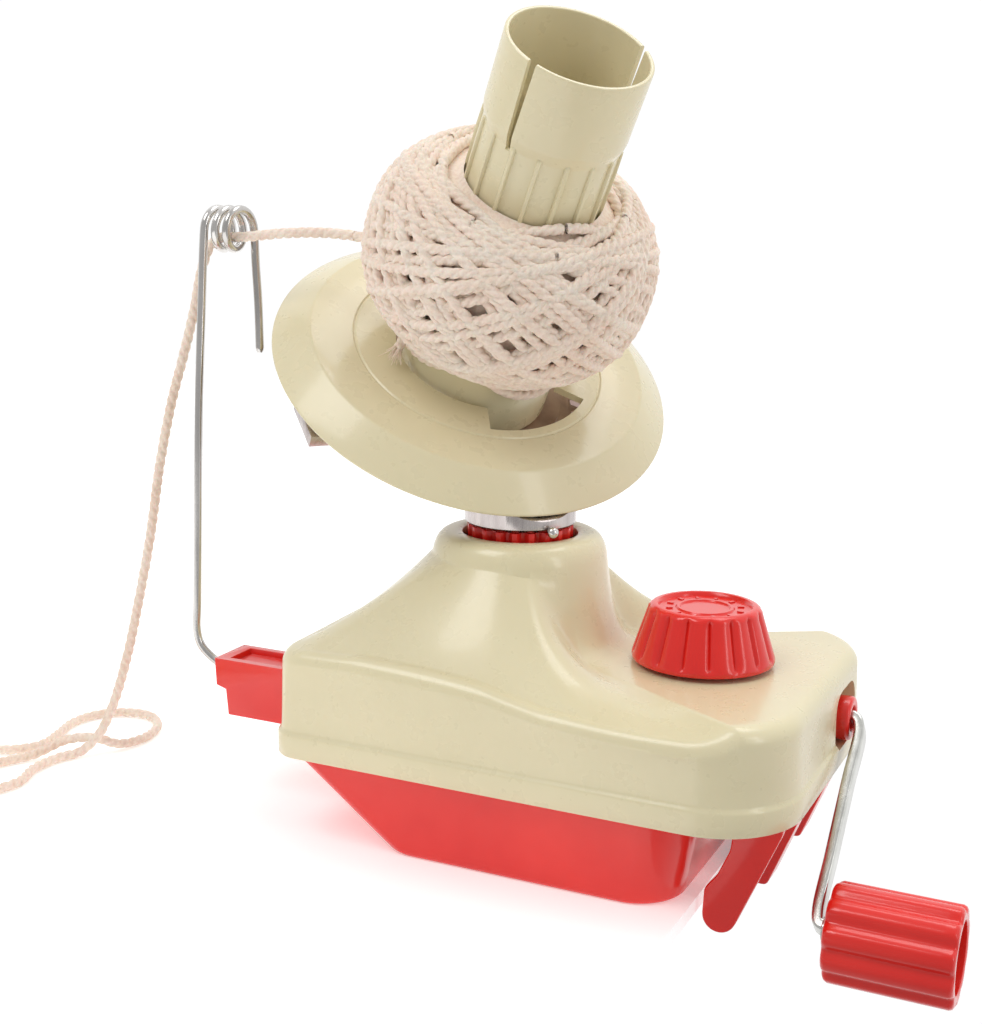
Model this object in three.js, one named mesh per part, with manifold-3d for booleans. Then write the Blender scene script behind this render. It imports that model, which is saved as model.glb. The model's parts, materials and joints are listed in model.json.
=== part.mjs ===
// Hand-cranked yarn ball winder. Millimetres, +Z up, +X towards the crank, z = 0 at the table face.
import * as THREE from 'three';
import { mergeVertices } from 'three/addons/utils/BufferGeometryUtils.js';
import ManifoldModule from 'manifold-3d';

const kernel = await ManifoldModule();
kernel.setup();

// ---------- driving dimensions ----------
const GAP = 0.3;                                    // between pieces that touch

const BODY = { x: 75, y: 56, bottom: 25.5, step: 32.5, deck: 54, frontRim: 48, rearRim: 56, edge: 5, rLeft: 9, rRight: 25, wall: 2.2 };
const TURRET = { x: -21.5, r: 26, top: 86.7, hole: 17, rise: 26 };
const CREASE_DEG = 31;                              // the deck lies within this angle of +X
const HULL = {
  floor: 2.5, top: 25.8, wall: 2.2,
  low: { x0: -40, x1: 45, y: 49.5, rLeft: 8, rRight: 14 },
  high: { x0: -71, x1: 50, y: 53, rLeft: 8, rRight: 14 },
};
const FLANGE = { bottom: 25.8, top: 28.3, inset: 2.5 };
const COVER_SCREWS = [[-32, 36], [-32, -36], [60, 44], [60, -44]];

const APEX = 180.4;                                 // the tilted axis crosses the turret axis at this height
const TILT_DEG = 34.8;
const TILT_TOWARDS_DEG = -39.25;
const DISC = { top: 53.5, thick: 2.2, flat: 52.5, rim: 62.8, rimAt: 62.3, hole: 26, slot: 35.5, ring: 38.9 };
const CONE = { rim: 20.65, rimAt: -51.5, body: 19.6, neck: 24.5, bottom: 66, wall: 1.6, floorAt: 22 };
const RIBS = { count: 16, width: 1.3, from: -27, to: 14, reach: 20.5 };
const BALL = { at: 17, half: 29, r: 42.5, inner: 21.4, neckInner: 25.3 };

const CRANK = { y: 18, z: 38, armX: 79, shaft: 3.5, end: [-27, -6] };
const HUB = { r: 6.4, x0: 61.5, x1: 76.4 };
const ARM = { wide: 6.4, thick: 3 };
const GRIP = { x0: 83, x1: 117, r: 13.6, lobes: 10, bore: 3.9 };
const KNOB = { x: 36.3, z0: 55.3, z1: 71.4, r0: 20.4, r1: 15.7, flutes: 16 };
const SCREW_R = 4;
const JAW = { half: 9, legX: 50.6, legThick: 4.4, toeX: 14, toeTop: -6.4, toeThick: 4.6, plateZ: 31 };

const MODULE = { sun: 2, spur: 1.2, bevel: 0.95 };
const TEETH = { sun: 10, planet: 38, idler: 36, rotor: 18, drive: 22, idlerBevel: 11 };
const POST_R = 5;
const SLEEVE = { inner: 6.6, outer: 8.5, z0: 10.4, z1: 95.6 };

const GUIDE = { y: -25, z: 38.5, r: 1.22, coilR: 6, coilY: -8, coilZ: 172 };
const YARN_R = 1.5;

// ---------- places worked out from them ----------
const degrees = THREE.MathUtils.degToRad;
const TILT = degrees(TILT_DEG);
const RATIO_ANGLE = Math.atan2(Math.sin(TILT), TEETH.planet / TEETH.sun + Math.cos(TILT));
const SUN_CONE = Math.tan(RATIO_ANGLE);             // pitch radius per millimetre from the apex
const PLANET_CONE = Math.tan(TILT - RATIO_ANGLE);
const SPUR_CENTRES = MODULE.spur * (TEETH.idler + TEETH.rotor) / 2;
const IDLER_X = TURRET.x + Math.sqrt(SPUR_CENTRES ** 2 - CRANK.y ** 2);

const tiltHinge = new THREE.Vector3(
  -Math.sin(degrees(TILT_TOWARDS_DEG)), Math.cos(degrees(TILT_TOWARDS_DEG)), 0);
const tiltFrame = new THREE.Matrix4().makeTranslation(TURRET.x, 0, APEX)
  .multiply(new THREE.Matrix4().makeRotationAxis(tiltHinge, TILT))
  .multiply(new THREE.Matrix4().makeRotationZ(degrees(TILT_TOWARDS_DEG)));

// ---------- materials ----------
function finish(color, roughness, metalness = 0) {
  return new THREE.MeshStandardMaterial({ color, roughness, metalness });
}
const CREAM = finish(0xe4d8b0, 0.35);
const RED = finish(0xe8302a, 0.35);
const STEEL = finish(0xb9bab8, 0.3, 1);
const ZINC = finish(0xa9aca4, 0.4, 1);
const BRONZE = finish(0xa9814d, 0.4, 1);
const DARK_METAL = finish(0x7d6f72, 0.45, 1);
const RUBBER = finish(0x2a2a2a, 0.85);
const COTTON = finish(0xf0dccb, 0.9);

// ---------- solid modelling helpers ----------
function signedVolume(position, index) {
  const [a, b, c] = [new THREE.Vector3(), new THREE.Vector3(), new THREE.Vector3()];
  let sum = 0;
  for (let i = 0; i < index.length; i += 3) {
    a.fromBufferAttribute(position, index[i]);
    b.fromBufferAttribute(position, index[i + 1]);
    c.fromBufferAttribute(position, index[i + 2]);
    sum += a.dot(b.cross(c));
  }
  return sum;
}

// A closed three.js geometry as a solid, its faces turned outward.
function solid(geometry) {
  const bare = new THREE.BufferGeometry();
  bare.setAttribute('position', geometry.getAttribute('position').clone());
  if (geometry.index) bare.setIndex(geometry.index.clone());
  const welded = mergeVertices(bare, 1e-4);
  const old = welded.index.array;
  const index = [];
  for (let i = 0; i < old.length; i += 3) {
    const [a, b, c] = old.slice(i, i + 3);
    if (a !== b && b !== c && c !== a) index.push(a, b, c);
  }
  const position = welded.getAttribute('position');
  if (signedVolume(position, index) < 0) index.reverse();
  const mesh = new kernel.Mesh({
    numProp: 3,
    vertProperties: new Float32Array(position.array),
    triVerts: new Uint32Array(index),
  });
  mesh.merge();
  return new kernel.Manifold(mesh);
}

function geometryOf(manifold) {
  const mesh = manifold.getMesh();
  const geometry = new THREE.BufferGeometry();
  geometry.setAttribute('position', new THREE.BufferAttribute(new Float32Array(mesh.vertProperties), 3));
  geometry.setIndex([...mesh.triVerts]);
  geometry.computeVertexNormals();
  return geometry;
}

function join(...parts) {
  return kernel.Manifold.union(parts);
}

function cut(body, ...tools) {
  return kernel.Manifold.difference([body, ...tools]);
}

function box(x0, x1, y0, y1, z0, z1) {
  const geometry = new THREE.BoxGeometry(x1 - x0, y1 - y0, z1 - z0);
  return solid(geometry.translate((x0 + x1) / 2, (y0 + y1) / 2, (z0 + z1) / 2));
}

// A body of revolution about Z, its profile given as [radius, z] pairs.
function turned(profile, segments = 32) {
  const points = profile.map(([r, z]) => new THREE.Vector2(r, z));
  return solid(new THREE.LatheGeometry(points, segments).rotateX(Math.PI / 2));
}

function rod(r, z0, z1, x = 0, y = 0, segments = 20) {
  return turned([[0, z0], [r, z0], [r, z1], [0, z1]], segments).translate([x, y, 0]);
}

function ring(inner, outer, z0, z1, segments = 20) {
  return turned([[inner, z0], [outer, z0], [outer, z1], [inner, z1], [inner, z0]], segments);
}

// A rod or ring made along Z, turned to lie along X and moved to a height and side.
function alongX(part, y = CRANK.y, z = CRANK.z) {
  return part.rotate([0, 90, 0]).translate([0, y, z]);
}

function extruded(points, depth) {
  const shape = new THREE.Shape(points.map(([x, y]) => new THREE.Vector2(x, y)));
  return new THREE.ExtrudeGeometry(shape, { depth, bevelEnabled: false, steps: 1 });
}

// A plate whose outline is given in X and Z, from y0 to y1.
function plateXZ(points, y0, y1) {
  return solid(extruded(points, y1 - y0).rotateX(Math.PI / 2).translate(0, y1, 0));
}

// Stacks rings of points that have equal counts; closed makes the last ring meet the first.
function skin(rings, closed = false) {
  const count = rings[0].length;
  const positions = rings.flat().flatMap((p) => [p.x, p.y, p.z]);
  const index = [];
  const bands = closed ? rings.length : rings.length - 1;
  for (let k = 0; k < bands; k++) {
    const [low, high] = [k * count, ((k + 1) % rings.length) * count];
    for (let i = 0; i < count; i++) {
      const j = (i + 1) % count;
      index.push(low + i, low + j, high + j, low + i, high + j, high + i);
    }
  }
  if (!closed) {
    const last = (rings.length - 1) * count;
    for (let i = 1; i < count - 1; i++) {
      index.push(0, i + 1, i, last, last + i, last + i + 1);
    }
  }
  const geometry = new THREE.BufferGeometry();
  geometry.setAttribute('position', new THREE.Float32BufferAttribute(positions, 3));
  geometry.setIndex(index);
  return solid(geometry);
}

// A route whose steps follow its own points, so that tight turns keep their points.
class Route extends THREE.CatmullRomCurve3 {
  getUtoTmapping(u) {
    return u;
  }
}

function circle(r, sides) {
  const corner = (k) => [r * Math.cos(2 * Math.PI * k / sides), r * Math.sin(2 * Math.PI * k / sides)];
  return Array.from({ length: sides }, (_, k) => corner(k));
}

function tube(points, section, stepsPerPoint = 2) {
  const route = new Route(points.map(([x, y, z]) => new THREE.Vector3(x, y, z)), false, 'centripetal');
  const shape = new THREE.Shape(section.map(([x, y]) => new THREE.Vector2(x, y)));
  const steps = (points.length - 1) * stepsPerPoint;
  return solid(new THREE.ExtrudeGeometry(shape, { steps, bevelEnabled: false, extrudePath: route }));
}

// ---------- gears ----------
const BEVEL_TEETH = { addendum: 0.6, dedendum: 1.05, thick: 0.38 };

// A gear outline with straight-sided teeth. The first tooth is centred on angle `turn`.
function gearOutline(teeth, module, { turn = 0, addendum = 0.75, dedendum = 1, thick = 0.4 } = {}) {
  const pitch = 2 * Math.PI / teeth;
  const [tip, root] = [module * (teeth / 2 + addendum), module * (teeth / 2 - dedendum)];
  const corners = [[root, -thick * 0.78], [tip, -thick * 0.3], [tip, thick * 0.3], [root, thick * 0.78]];
  const points = [];
  for (let k = 0; k < teeth; k++) {
    for (const [r, share] of corners) {
      const angle = turn + (k + share) * pitch;
      points.push([r * Math.cos(angle), r * Math.sin(angle)]);
    }
  }
  return points;
}

function spurGear(teeth, module, z0, z1, options) {
  return solid(extruded(gearOutline(teeth, module, options), z1 - z0).translate(0, 0, z0));
}

// A bevel gear with its apex at the origin and its teeth between two distances along +Z.
function bevelGear(teeth, cone, near, far, options) {
  const module = 2 * cone * far / teeth;
  const geometry = extruded(gearOutline(teeth, module, options), far - near).translate(0, 0, near);
  const position = geometry.getAttribute('position');
  for (let i = 0; i < position.count; i++) {
    const scale = position.getZ(i) / far;
    position.setXYZ(i, position.getX(i) * scale, position.getY(i) * scale, position.getZ(i));
  }
  return solid(geometry);
}

// ---------- the body's outline and height ----------
function roundedOutline({ x0, x1, y, rLeft, rRight }, z, cornerSteps = 4, sideSteps = [4, 5, 4, 5]) {
  const corners = [
    [x1 - rRight, -(y - rRight), rRight, -90],
    [x1 - rRight, y - rRight, rRight, 0],
    [x0 + rLeft, y - rLeft, rLeft, 90],
    [x0 + rLeft, -(y - rLeft), rLeft, 180],
  ];
  const points = [];
  corners.forEach(([cx, cy, r, from], side) => {
    for (let k = 0; k <= cornerSteps; k++) {
      const a = degrees(from + 90 * k / cornerSteps);
      points.push(new THREE.Vector3(cx + r * Math.cos(a), cy + r * Math.sin(a), z));
    }
    const [nx, ny, nr, nfrom] = corners[(side + 1) % 4];
    const start = points[points.length - 1];
    const a = degrees(nfrom);
    const end = new THREE.Vector3(nx + nr * Math.cos(a), ny + nr * Math.sin(a), z);
    for (let k = 1; k < sideSteps[side]; k++) {
      points.push(start.clone().lerp(end, k / sideSteps[side]));
    }
  });
  return points;
}

function bodyOutline(inset, z) {
  const [rLeft, rRight] = [BODY.rLeft, BODY.rRight].map((r) => Math.max(r - inset, 1));
  return roundedOutline({ x0: -BODY.x + inset, x1: BODY.x - inset, y: BODY.y - inset, rLeft, rRight }, z);
}

// Height of the cover's top at a distance from the turret axis, before its outer edge is rounded. Within the
// crease angle it is the flat deck. Beyond it, a front slope leans out to the wall and rises to a flare at the turret.
function coverHeight(r, angle, reach) {
  const { clamp, lerp, smoothstep } = THREE.MathUtils;
  const [turn, crease] = [Math.abs(angle), degrees(CREASE_DEG)];
  const out = clamp((r - TURRET.r) / (reach - TURRET.r), 0, 1);
  const beyond = clamp(turn - crease, 0, Math.PI / 2);
  const wallAt = Math.max((BODY.y - r * Math.cos(beyond) * Math.sin(crease)) / Math.cos(crease), 6);
  const slope = clamp(r * Math.sin(beyond) / wallAt, 0, 1);
  const lean = lerp(slope, out, smoothstep(turn, degrees(60), degrees(90)));
  const rim = lerp(BODY.frontRim, BODY.rearRim, smoothstep(turn, degrees(45), degrees(110)));
  const flare = smoothstep(turn, crease, degrees(62));
  const foot = Math.exp(-(r - TURRET.r) / 2.9);
  return lerp(BODY.deck, rim, lean) + TURRET.rise * (flare * (1 - out) ** 1.3 + (1 - flare) * foot);
}

// ---------- cover ----------
function coverShell() {
  const wallLow = bodyOutline(0, BODY.bottom);
  const inner = bodyOutline(BODY.wall, BODY.bottom);
  const centre = new THREE.Vector3(TURRET.x, 0, 0);
  const rays = wallLow.map((p, i) => {
    const away = p.clone().setZ(0).sub(centre);
    const inside = inner[i].clone().setZ(0).sub(centre).length();
    return { unit: away.clone().normalize(), reach: away.length(), inside, angle: Math.atan2(away.y, away.x) };
  });
  const at = (ray, r, z) => centre.clone().addScaledVector(ray.unit, r).setZ(z);
  const rings = [
    wallLow,
    bodyOutline(0, BODY.step),
    bodyOutline(0.8, BODY.step + 0.6),
    rays.map((ray) => at(ray, ray.reach - 1.4, coverHeight(ray.reach, ray.angle, ray.reach) - BODY.edge - 1)),
  ];
  const edge = [[2, 0.4], [5.5, 0]];
  for (const [inset, drop] of edge) {
    rings.push(rays.map((ray) => {
      const r = ray.reach - inset;
      return at(ray, r, coverHeight(r, ray.angle, ray.reach) - drop * BODY.edge * 1.4);
    }));
  }
  const shares = [0.7, 0.45, 0.25, 0.12, 0.04];
  for (const share of shares) {
    rings.push(rays.map((ray) => {
      const r = TURRET.r + share * (ray.reach - 5.5 - TURRET.r);
      return at(ray, r, coverHeight(r, ray.angle, ray.reach));
    }));
  }
  const rim = [[26, 80.4], [25.3, 83.6], [23.2, 86], [20.4, TURRET.top], [TURRET.hole, TURRET.top]];
  for (const [r, z] of rim) rings.push(rays.map((ray) => at(ray, r, z)));
  const under = [[TURRET.hole, TURRET.top - 2.4], [21.5, TURRET.top - 3], [23.8, 78]];
  for (const [r, z] of under) rings.push(rays.map((ray) => at(ray, r, z)));
  for (const share of [0.1, 0.4, 0.93]) {
    rings.push(rays.map((ray) => {
      const r = TURRET.r - 1 + share * (ray.inside - 3 - TURRET.r);
      return at(ray, r, coverHeight(r + 2, ray.angle, ray.reach) - 2.2);
    }));
  }
  rings.push(rays.map((ray) => at(ray, ray.reach - 4.4, coverHeight(ray.reach, ray.angle, ray.reach) - BODY.edge - 4)));
  rings.push(bodyOutline(BODY.wall + 0.8, BODY.step + 0.6));
  rings.push(bodyOutline(BODY.wall, BODY.step - 0.4));
  rings.push(inner);
  return skin(rings, true);
}

// The arched pocket that the crank turns in, grown by a wall's thickness where asked.
function crankPocket(grow, x0, x1) {
  const [half, top, low, corner] = [12 + grow, 47 + grow, 31.2 - grow, 9];
  const points = [[-low, -half], [-low, half]];
  for (let k = 0; k <= 3; k++) {
    const a = degrees(90 * k / 3);
    points.push([-(top - corner + corner * Math.sin(a)), half - corner + corner * Math.cos(a)]);
  }
  for (let k = 0; k <= 3; k++) {
    const a = degrees(90 + 90 * k / 3);
    points.push([-(top - corner + corner * Math.sin(a)), -half + corner + corner * Math.cos(a)]);
  }
  const part = solid(extruded(points, x1 - x0));
  return part.rotate([0, 90, 0]).translate([x0, CRANK.y + 1, 0]);
}

// A screw boss ends inside the thickness of the roof above it.
function bossTop(x, y) {
  const angle = Math.atan2(y, x - TURRET.x);
  const reach = Math.min(BODY.y / Math.abs(Math.sin(angle)), (BODY.x - TURRET.x) / Math.abs(Math.cos(angle)));
  return coverHeight(Math.hypot(x - TURRET.x, y), angle, reach) - 1;
}

function topCover() {
  const bosses = COVER_SCREWS.map(([x, y]) => rod(3.6, FLANGE.top + GAP, bossTop(x, y), x, y, 12));
  const bores = COVER_SCREWS.map(([x, y]) => rod(1.8, FLANGE.top, 42, x, y, 8));
  const collar = rod(8, 49, 53, KNOB.x, 0, 20);
  const body = join(coverShell(), crankPocket(1.6, 64.6, 73.6), ...bosses, collar);
  return cut(
    body, ...bores,
    crankPocket(0, 66.2, 80),
    alongX(rod(HUB.r + 0.6, 60, 70), CRANK.y),
    rod(SCREW_R + 0.4, 40, 60, KNOB.x),
    box(-80, -70, GUIDE.y - 8.3, GUIDE.y + 8.3, 20, 43.5),
  );
}

function coverScrew([x, y]) {
  const head = x > 0 ? FLANGE.bottom - GAP : 2;
  return join(rod(3, head - 1.7, head, x, y, 12), rod(1.4, head - 0.5, 40, x, y, 8));
}

// ---------- base ----------
function hullRings(inset, z0, z1) {
  const grown = ({ x0, x1, y, rLeft, rRight }) => ({
    x0: x0 + inset, x1: x1 - inset, y: y - inset, rLeft: rLeft - inset, rRight: rRight - inset,
  });
  const blend = (t) => {
    const [a, b] = [grown(HULL.low), grown(HULL.high)];
    return Object.fromEntries(Object.keys(a).map((key) => [key, a[key] + (b[key] - a[key]) * t]));
  };
  const steps = [z0, z0 + 1.2, z1];
  return steps.map((z, k) => {
    const side = blend(THREE.MathUtils.clamp(z / HULL.top, 0, 1));
    const soft = k === 0 ? 1 : 0;
    const outline = { ...side, x0: side.x0 + soft, x1: side.x1 - soft, y: side.y - soft };
    return roundedOutline(outline, z, 4, [3, 3, 3, 3]);
  });
}

// The fingers that hang from the flange at the crank end and stop against the table's edge.
function fenceFingers() {
  const tip = [];
  for (let k = 0; k <= 4; k++) {
    const a = degrees(-180 + 40 * k);
    tip.push([55.2 + 4.7 * Math.cos(a), -3.8 + 4.7 * Math.sin(a)]);
  }
  const top = FLANGE.bottom - GAP;
  const long = [[58.4, top], [57.4, 15.5], [54, 7.6], [50.8, 3.6], ...tip, [71.2, 22.4], [71.2, top]];
  const short = [[58, top], [58, 13], [60.2, 1], [64, 1], [71.6, 20], [71.6, top]];
  return [
    plateXZ(long, -37.5, -34), plateXZ(long, 34, 37.5),
    plateXZ(short, -23, -13), plateXZ(short, 13, 23),
  ];
}

function bearingBlock(x0, x1, z0) {
  return cut(
    join(box(x0, x1, CRANK.y - 7, CRANK.y + 7, z0, CRANK.z), alongX(rod(7, x0, x1))),
    alongX(rod(5.6, x0 - 1, x1 + 1)),
  );
}

function baseTray() {
  const hull = skin(hullRings(0, 0, HULL.top + 0.4));
  const hollow = skin(hullRings(HULL.wall, HULL.floor, 30));
  const flange = skin([bodyOutline(FLANGE.inset, FLANGE.bottom), bodyOutline(FLANGE.inset, FLANGE.top)]);
  const screwPosts = COVER_SCREWS.filter(([x]) => x < 0).map(([x, y]) => rod(4.2, 1, FLANGE.top, x, y, 14));
  const fittings = [
    rod(9.5, 1, 10, TURRET.x), rod(5.2, 1, 10, IDLER_X, CRANK.y), rod(7, 1, 6, KNOB.x),
    bearingBlock(30, 34, 1), bearingBlock(56.8, 60.8, FLANGE.bottom + 0.5),
  ];
  const bores = COVER_SCREWS.flatMap(([x, y]) => {
    const [low, high] = x > 0 ? [20, FLANGE.bottom] : [-1, 2.2];
    return [rod(1.8, -1, 30, x, y, 8), rod(3.4, low, high, x, y, 14)];
  });
  return cut(
    join(cut(join(hull, flange), hollow), ...screwPosts, ...fittings),
    ...bores,
    rod(POST_R + GAP, 3, 12, TURRET.x), rod(2.3, 3, 12, IDLER_X, CRANK.y, 14), rod(3.3, 3, 8, KNOB.x),
    box(40, JAW.legX + JAW.legThick + 0.6, -JAW.half - 0.8, JAW.half + 0.8, 6, 30),
    box(-74, -70.5, GUIDE.y - 8.3, GUIDE.y + 8.3, 25, 30),
  );
}

// ---------- crank, its gears and grip ----------
function crankArm() {
  const [yEnd, zEnd] = CRANK.end;
  const across = new THREE.Vector3(0, yEnd - CRANK.y, zEnd - CRANK.z).normalize();
  const top = new THREE.Vector3(CRANK.armX, CRANK.y, CRANK.z);
  const low = new THREE.Vector3(CRANK.armX, yEnd, zEnd);
  const near = (corner, along, outward) => corner.clone().addScaledVector(across, along)
    .setX(CRANK.armX + outward).toArray();
  const points = [
    [70.2, CRANK.y, CRANK.z], [73, CRANK.y, CRANK.z],
    near(top, 0, -3.4), near(top, 0.9, -1), near(top, 3.4, 0),
    near(top, 18, 0), near(low, -18, 0), near(low, -3.4, 0),
    near(low, -0.9, 1), near(low, 0, 3.4),
  ];
  const [w, t] = [ARM.wide / 2, ARM.thick / 2];
  const section = [[t, -w + 1], [t, w - 1], [t - 1, w], [1 - t, w], [-t, w - 1], [-t, 1 - w], [1 - t, -w], [t - 1, -w]];
  const pin = alongX(rod(3.4, CRANK.armX + 2, GRIP.x1 - 6, 0, 0, 16), yEnd, zEnd);
  return { bar: points, section, pin };
}

function armSolid() {
  const { bar, section, pin } = crankArm();
  return join(sweepBar(bar, section), pin);
}

// The bar keeps its flat side towards +X or away from it, so each ring is placed by hand.
function sweepBar(points, section) {
  const [yEnd, zEnd] = CRANK.end;
  const flat = new THREE.Vector3(0, yEnd - CRANK.y, zEnd - CRANK.z).normalize();
  const side = new THREE.Vector3(1, 0, 0).cross(flat);
  const path = points.map(([x, y, z]) => new THREE.Vector3(x, y, z));
  const rings = path.map((p, k) => {
    const ahead = path[Math.min(k + 1, path.length - 1)].clone().sub(path[Math.max(k - 1, 0)]).normalize();
    const out = side.clone().cross(ahead).normalize();
    return section.map(([t, w]) => p.clone().addScaledVector(out, t).addScaledVector(side, w));
  });
  return skin(rings);
}

function crankHub() {
  const [w, t] = [ARM.wide / 2 + GAP, ARM.thick / 2 + GAP];
  const { r, x0, x1 } = HUB;
  const body = alongX(turned([[0, x0], [r, x0], [r, x1 - 1.4], [r - 1.4, x1], [0, x1]], 24));
  const socket = box(69.6, 80, -w, w, -t, t);
  const turn = THREE.MathUtils.radToDeg(Math.atan2(CRANK.end[1] - CRANK.z, CRANK.end[0] - CRANK.y)) - 90;
  return cut(
    body, alongX(rod(CRANK.shaft + GAP, 60, 68.4)),
    socket.rotate([turn, 0, 0]).translate([0, CRANK.y, CRANK.z]),
  );
}

function handleGrip() {
  const points = [];
  const steps = GRIP.lobes * 5;
  for (let k = 0; k < steps; k++) {
    const a = 2 * Math.PI * k / steps;
    const r = GRIP.r - 1.5 * (0.5 - 0.5 * Math.cos(GRIP.lobes * a)) ** 2;
    points.push([r * Math.cos(a), r * Math.sin(a)]);
  }
  const length = GRIP.x1 - GRIP.x0;
  const body = solid(extruded(points, length));
  return alongX(cut(body, rod(GRIP.bore, -1, length + 1), rod(9.4, length - 9, length + 1)),
    CRANK.end[0], CRANK.end[1]).translate([GRIP.x0, 0, 0]);
}

function driveGear() {
  const teeth = bevelGear(TEETH.drive, 2, 3.6, 5.4, { ...BEVEL_TEETH, turn: Math.PI / TEETH.drive });
  const hub = rod(7, 5.3, 11);
  const bore = rod(CRANK.shaft + GAP, 0, 20);
  return cut(join(teeth, hub), bore).rotate([0, 90, 0]).translate([IDLER_X, CRANK.y, CRANK.z]);
}

function idlerGear() {
  const bevel = bevelGear(TEETH.idlerBevel, 0.5, 7.2, 10.8, BEVEL_TEETH).mirror([0, 0, 1]).translate([0, 0, CRANK.z]);
  const body = join(bevel, rod(4.4, 17, CRANK.z - 10.4), spurGear(TEETH.idler, MODULE.spur, 13, 18, { turn: idlerPhase() }));
  return cut(body, rod(2.3, 0, 40, 0, 0, 16)).translate([IDLER_X, CRANK.y, 0]);
}

// The rotor pinion has a tooth towards +X; this turns the idler so that a space meets the pinion.
function idlerPhase() {
  const towards = Math.atan2(-CRANK.y, TURRET.x - IDLER_X);
  return towards + Math.PI / TEETH.idler;
}

function rotorPinion() {
  const towards = Math.atan2(CRANK.y, IDLER_X - TURRET.x);
  return cut(spurGear(TEETH.rotor, MODULE.spur, 13, 18, { turn: towards }), rod(SLEEVE.outer + GAP, 0, 30));
}

// ---------- rotor, in the turret's own frame unless it says tilted ----------
// Moves a part made about the tilted axis (its +Z upwards from the crossing point) into place.
function tilted(part) {
  return part.transform(tiltFrame.elements);
}

function down(distance) {
  return -distance;
}

function discPlate() {
  const { top, thick, flat, rim, rimAt, hole, ring: raised } = DISC;
  const shell = turned([
    [hole, down(top)], [raised - 0.5, down(top)], [raised, down(top - 0.5)],
    [raised + 0.5, down(top)], [flat, down(top)], [rim, down(rimAt - 0.9)], [rim - 0.6, down(rimAt)], [rim - 1.9, down(rimAt)], [flat, down(top + thick)],
    [hole, down(top + thick)], [hole, down(top)],
  ], 44);
  const slot = [];
  for (let k = 0; k <= 8; k++) {
    const a = degrees(-15 + 63 * k / 8);
    slot.push([DISC.slot * Math.cos(a), DISC.slot * Math.sin(a)]);
  }
  slot.push([22 * Math.cos(degrees(48)), 22 * Math.sin(degrees(48))]);
  slot.push([22 * Math.cos(degrees(-15)), 22 * Math.sin(degrees(-15))]);
  const opening = solid(extruded(slot, 10).translate(0, 0, -60));
  const bosses = [-47.5, 47.5].map((g) => rod(4, -60, down(top + 1), 0, g, 16));
  const bores = [-47.5, 47.5].map((g) => rod(1.9, -61, -57, 0, g, 8));
  return cut(join(shell, ...bosses), opening, ...bores);
}

function rotorCup() {
  const cup = turned([
    [SLEEVE.outer + GAP, 89], [15.6, 89], [16.5, 89.9], [16.5, 104], [15.2, 104], [15.2, 91],
    [SLEEVE.outer + GAP, 91], [SLEEVE.outer + GAP, 89],
  ], 40).translate([TURRET.x, 0, 0]);
  const bar = join(
    box(-12, 39, -10, 10, -82, -78), box(-8.5, 8.5, -52, 52, -82, -78),
    rod(4, -79, -60.3, 0, 47.5, 16), rod(4, -79, -60.3, 0, -47.5, 16),
  );
  const sleeveRoom = rod(15.3, 90, 110, TURRET.x, 0, 40);
  const gearRoom = tilted(rod(42.2, down(76.5), down(40), 0, 0, 48));
  const discRoom = tilted(turned([
    [0, down(56)], [52.2, down(56)], [60.4, down(62.9)], [64, down(62.9)], [64, 0], [0, 0],
  ], 40));
  const bores = join(rod(3.3, -90, -70), rod(1.9, -90, -50, 0, 47.5, 8), rod(1.9, -90, -50, 0, -47.5, 8));
  return cut(join(cup, cut(tilted(bar), sleeveRoom)), gearRoom, discRoom, tilted(bores));
}

function castleRing() {
  const outline = gearOutline(20, 1.5, { addendum: 0.5, dedendum: 0.7, thick: 0.5 });
  const notched = solid(extruded(outline, 3.4).translate(0, 0, 85.3));
  return cut(join(notched, rod(14, 80, 86)), rod(SLEEVE.outer + GAP, 70, 100)).translate([TURRET.x, 0, 0]);
}

function fixedGear() {
  const teeth = bevelGear(TEETH.sun, SUN_CONE, APEX - 102.6, APEX - 96.6, { turn: sunPhase() });
  return cut(teeth.mirror([0, 0, 1]).translate([TURRET.x, 0, APEX]), rod(3.3, 90, 110, TURRET.x));
}

// Mirrored in Z later, so only the angle about Z matters: a tooth points along the mesh line.
function sunPhase() {
  return degrees(TILT_TOWARDS_DEG) + Math.PI;
}

function coneGear() {
  const teeth = bevelGear(TEETH.planet, PLANET_CONE, 69, 75.3, { turn: Math.PI / TEETH.planet }).mirror([0, 0, 1]);
  const web = rod(30, down(75), down(66.3), 0, 0, 32);
  return cut(join(teeth, web), rod(5.8, -80, -60));
}

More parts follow.
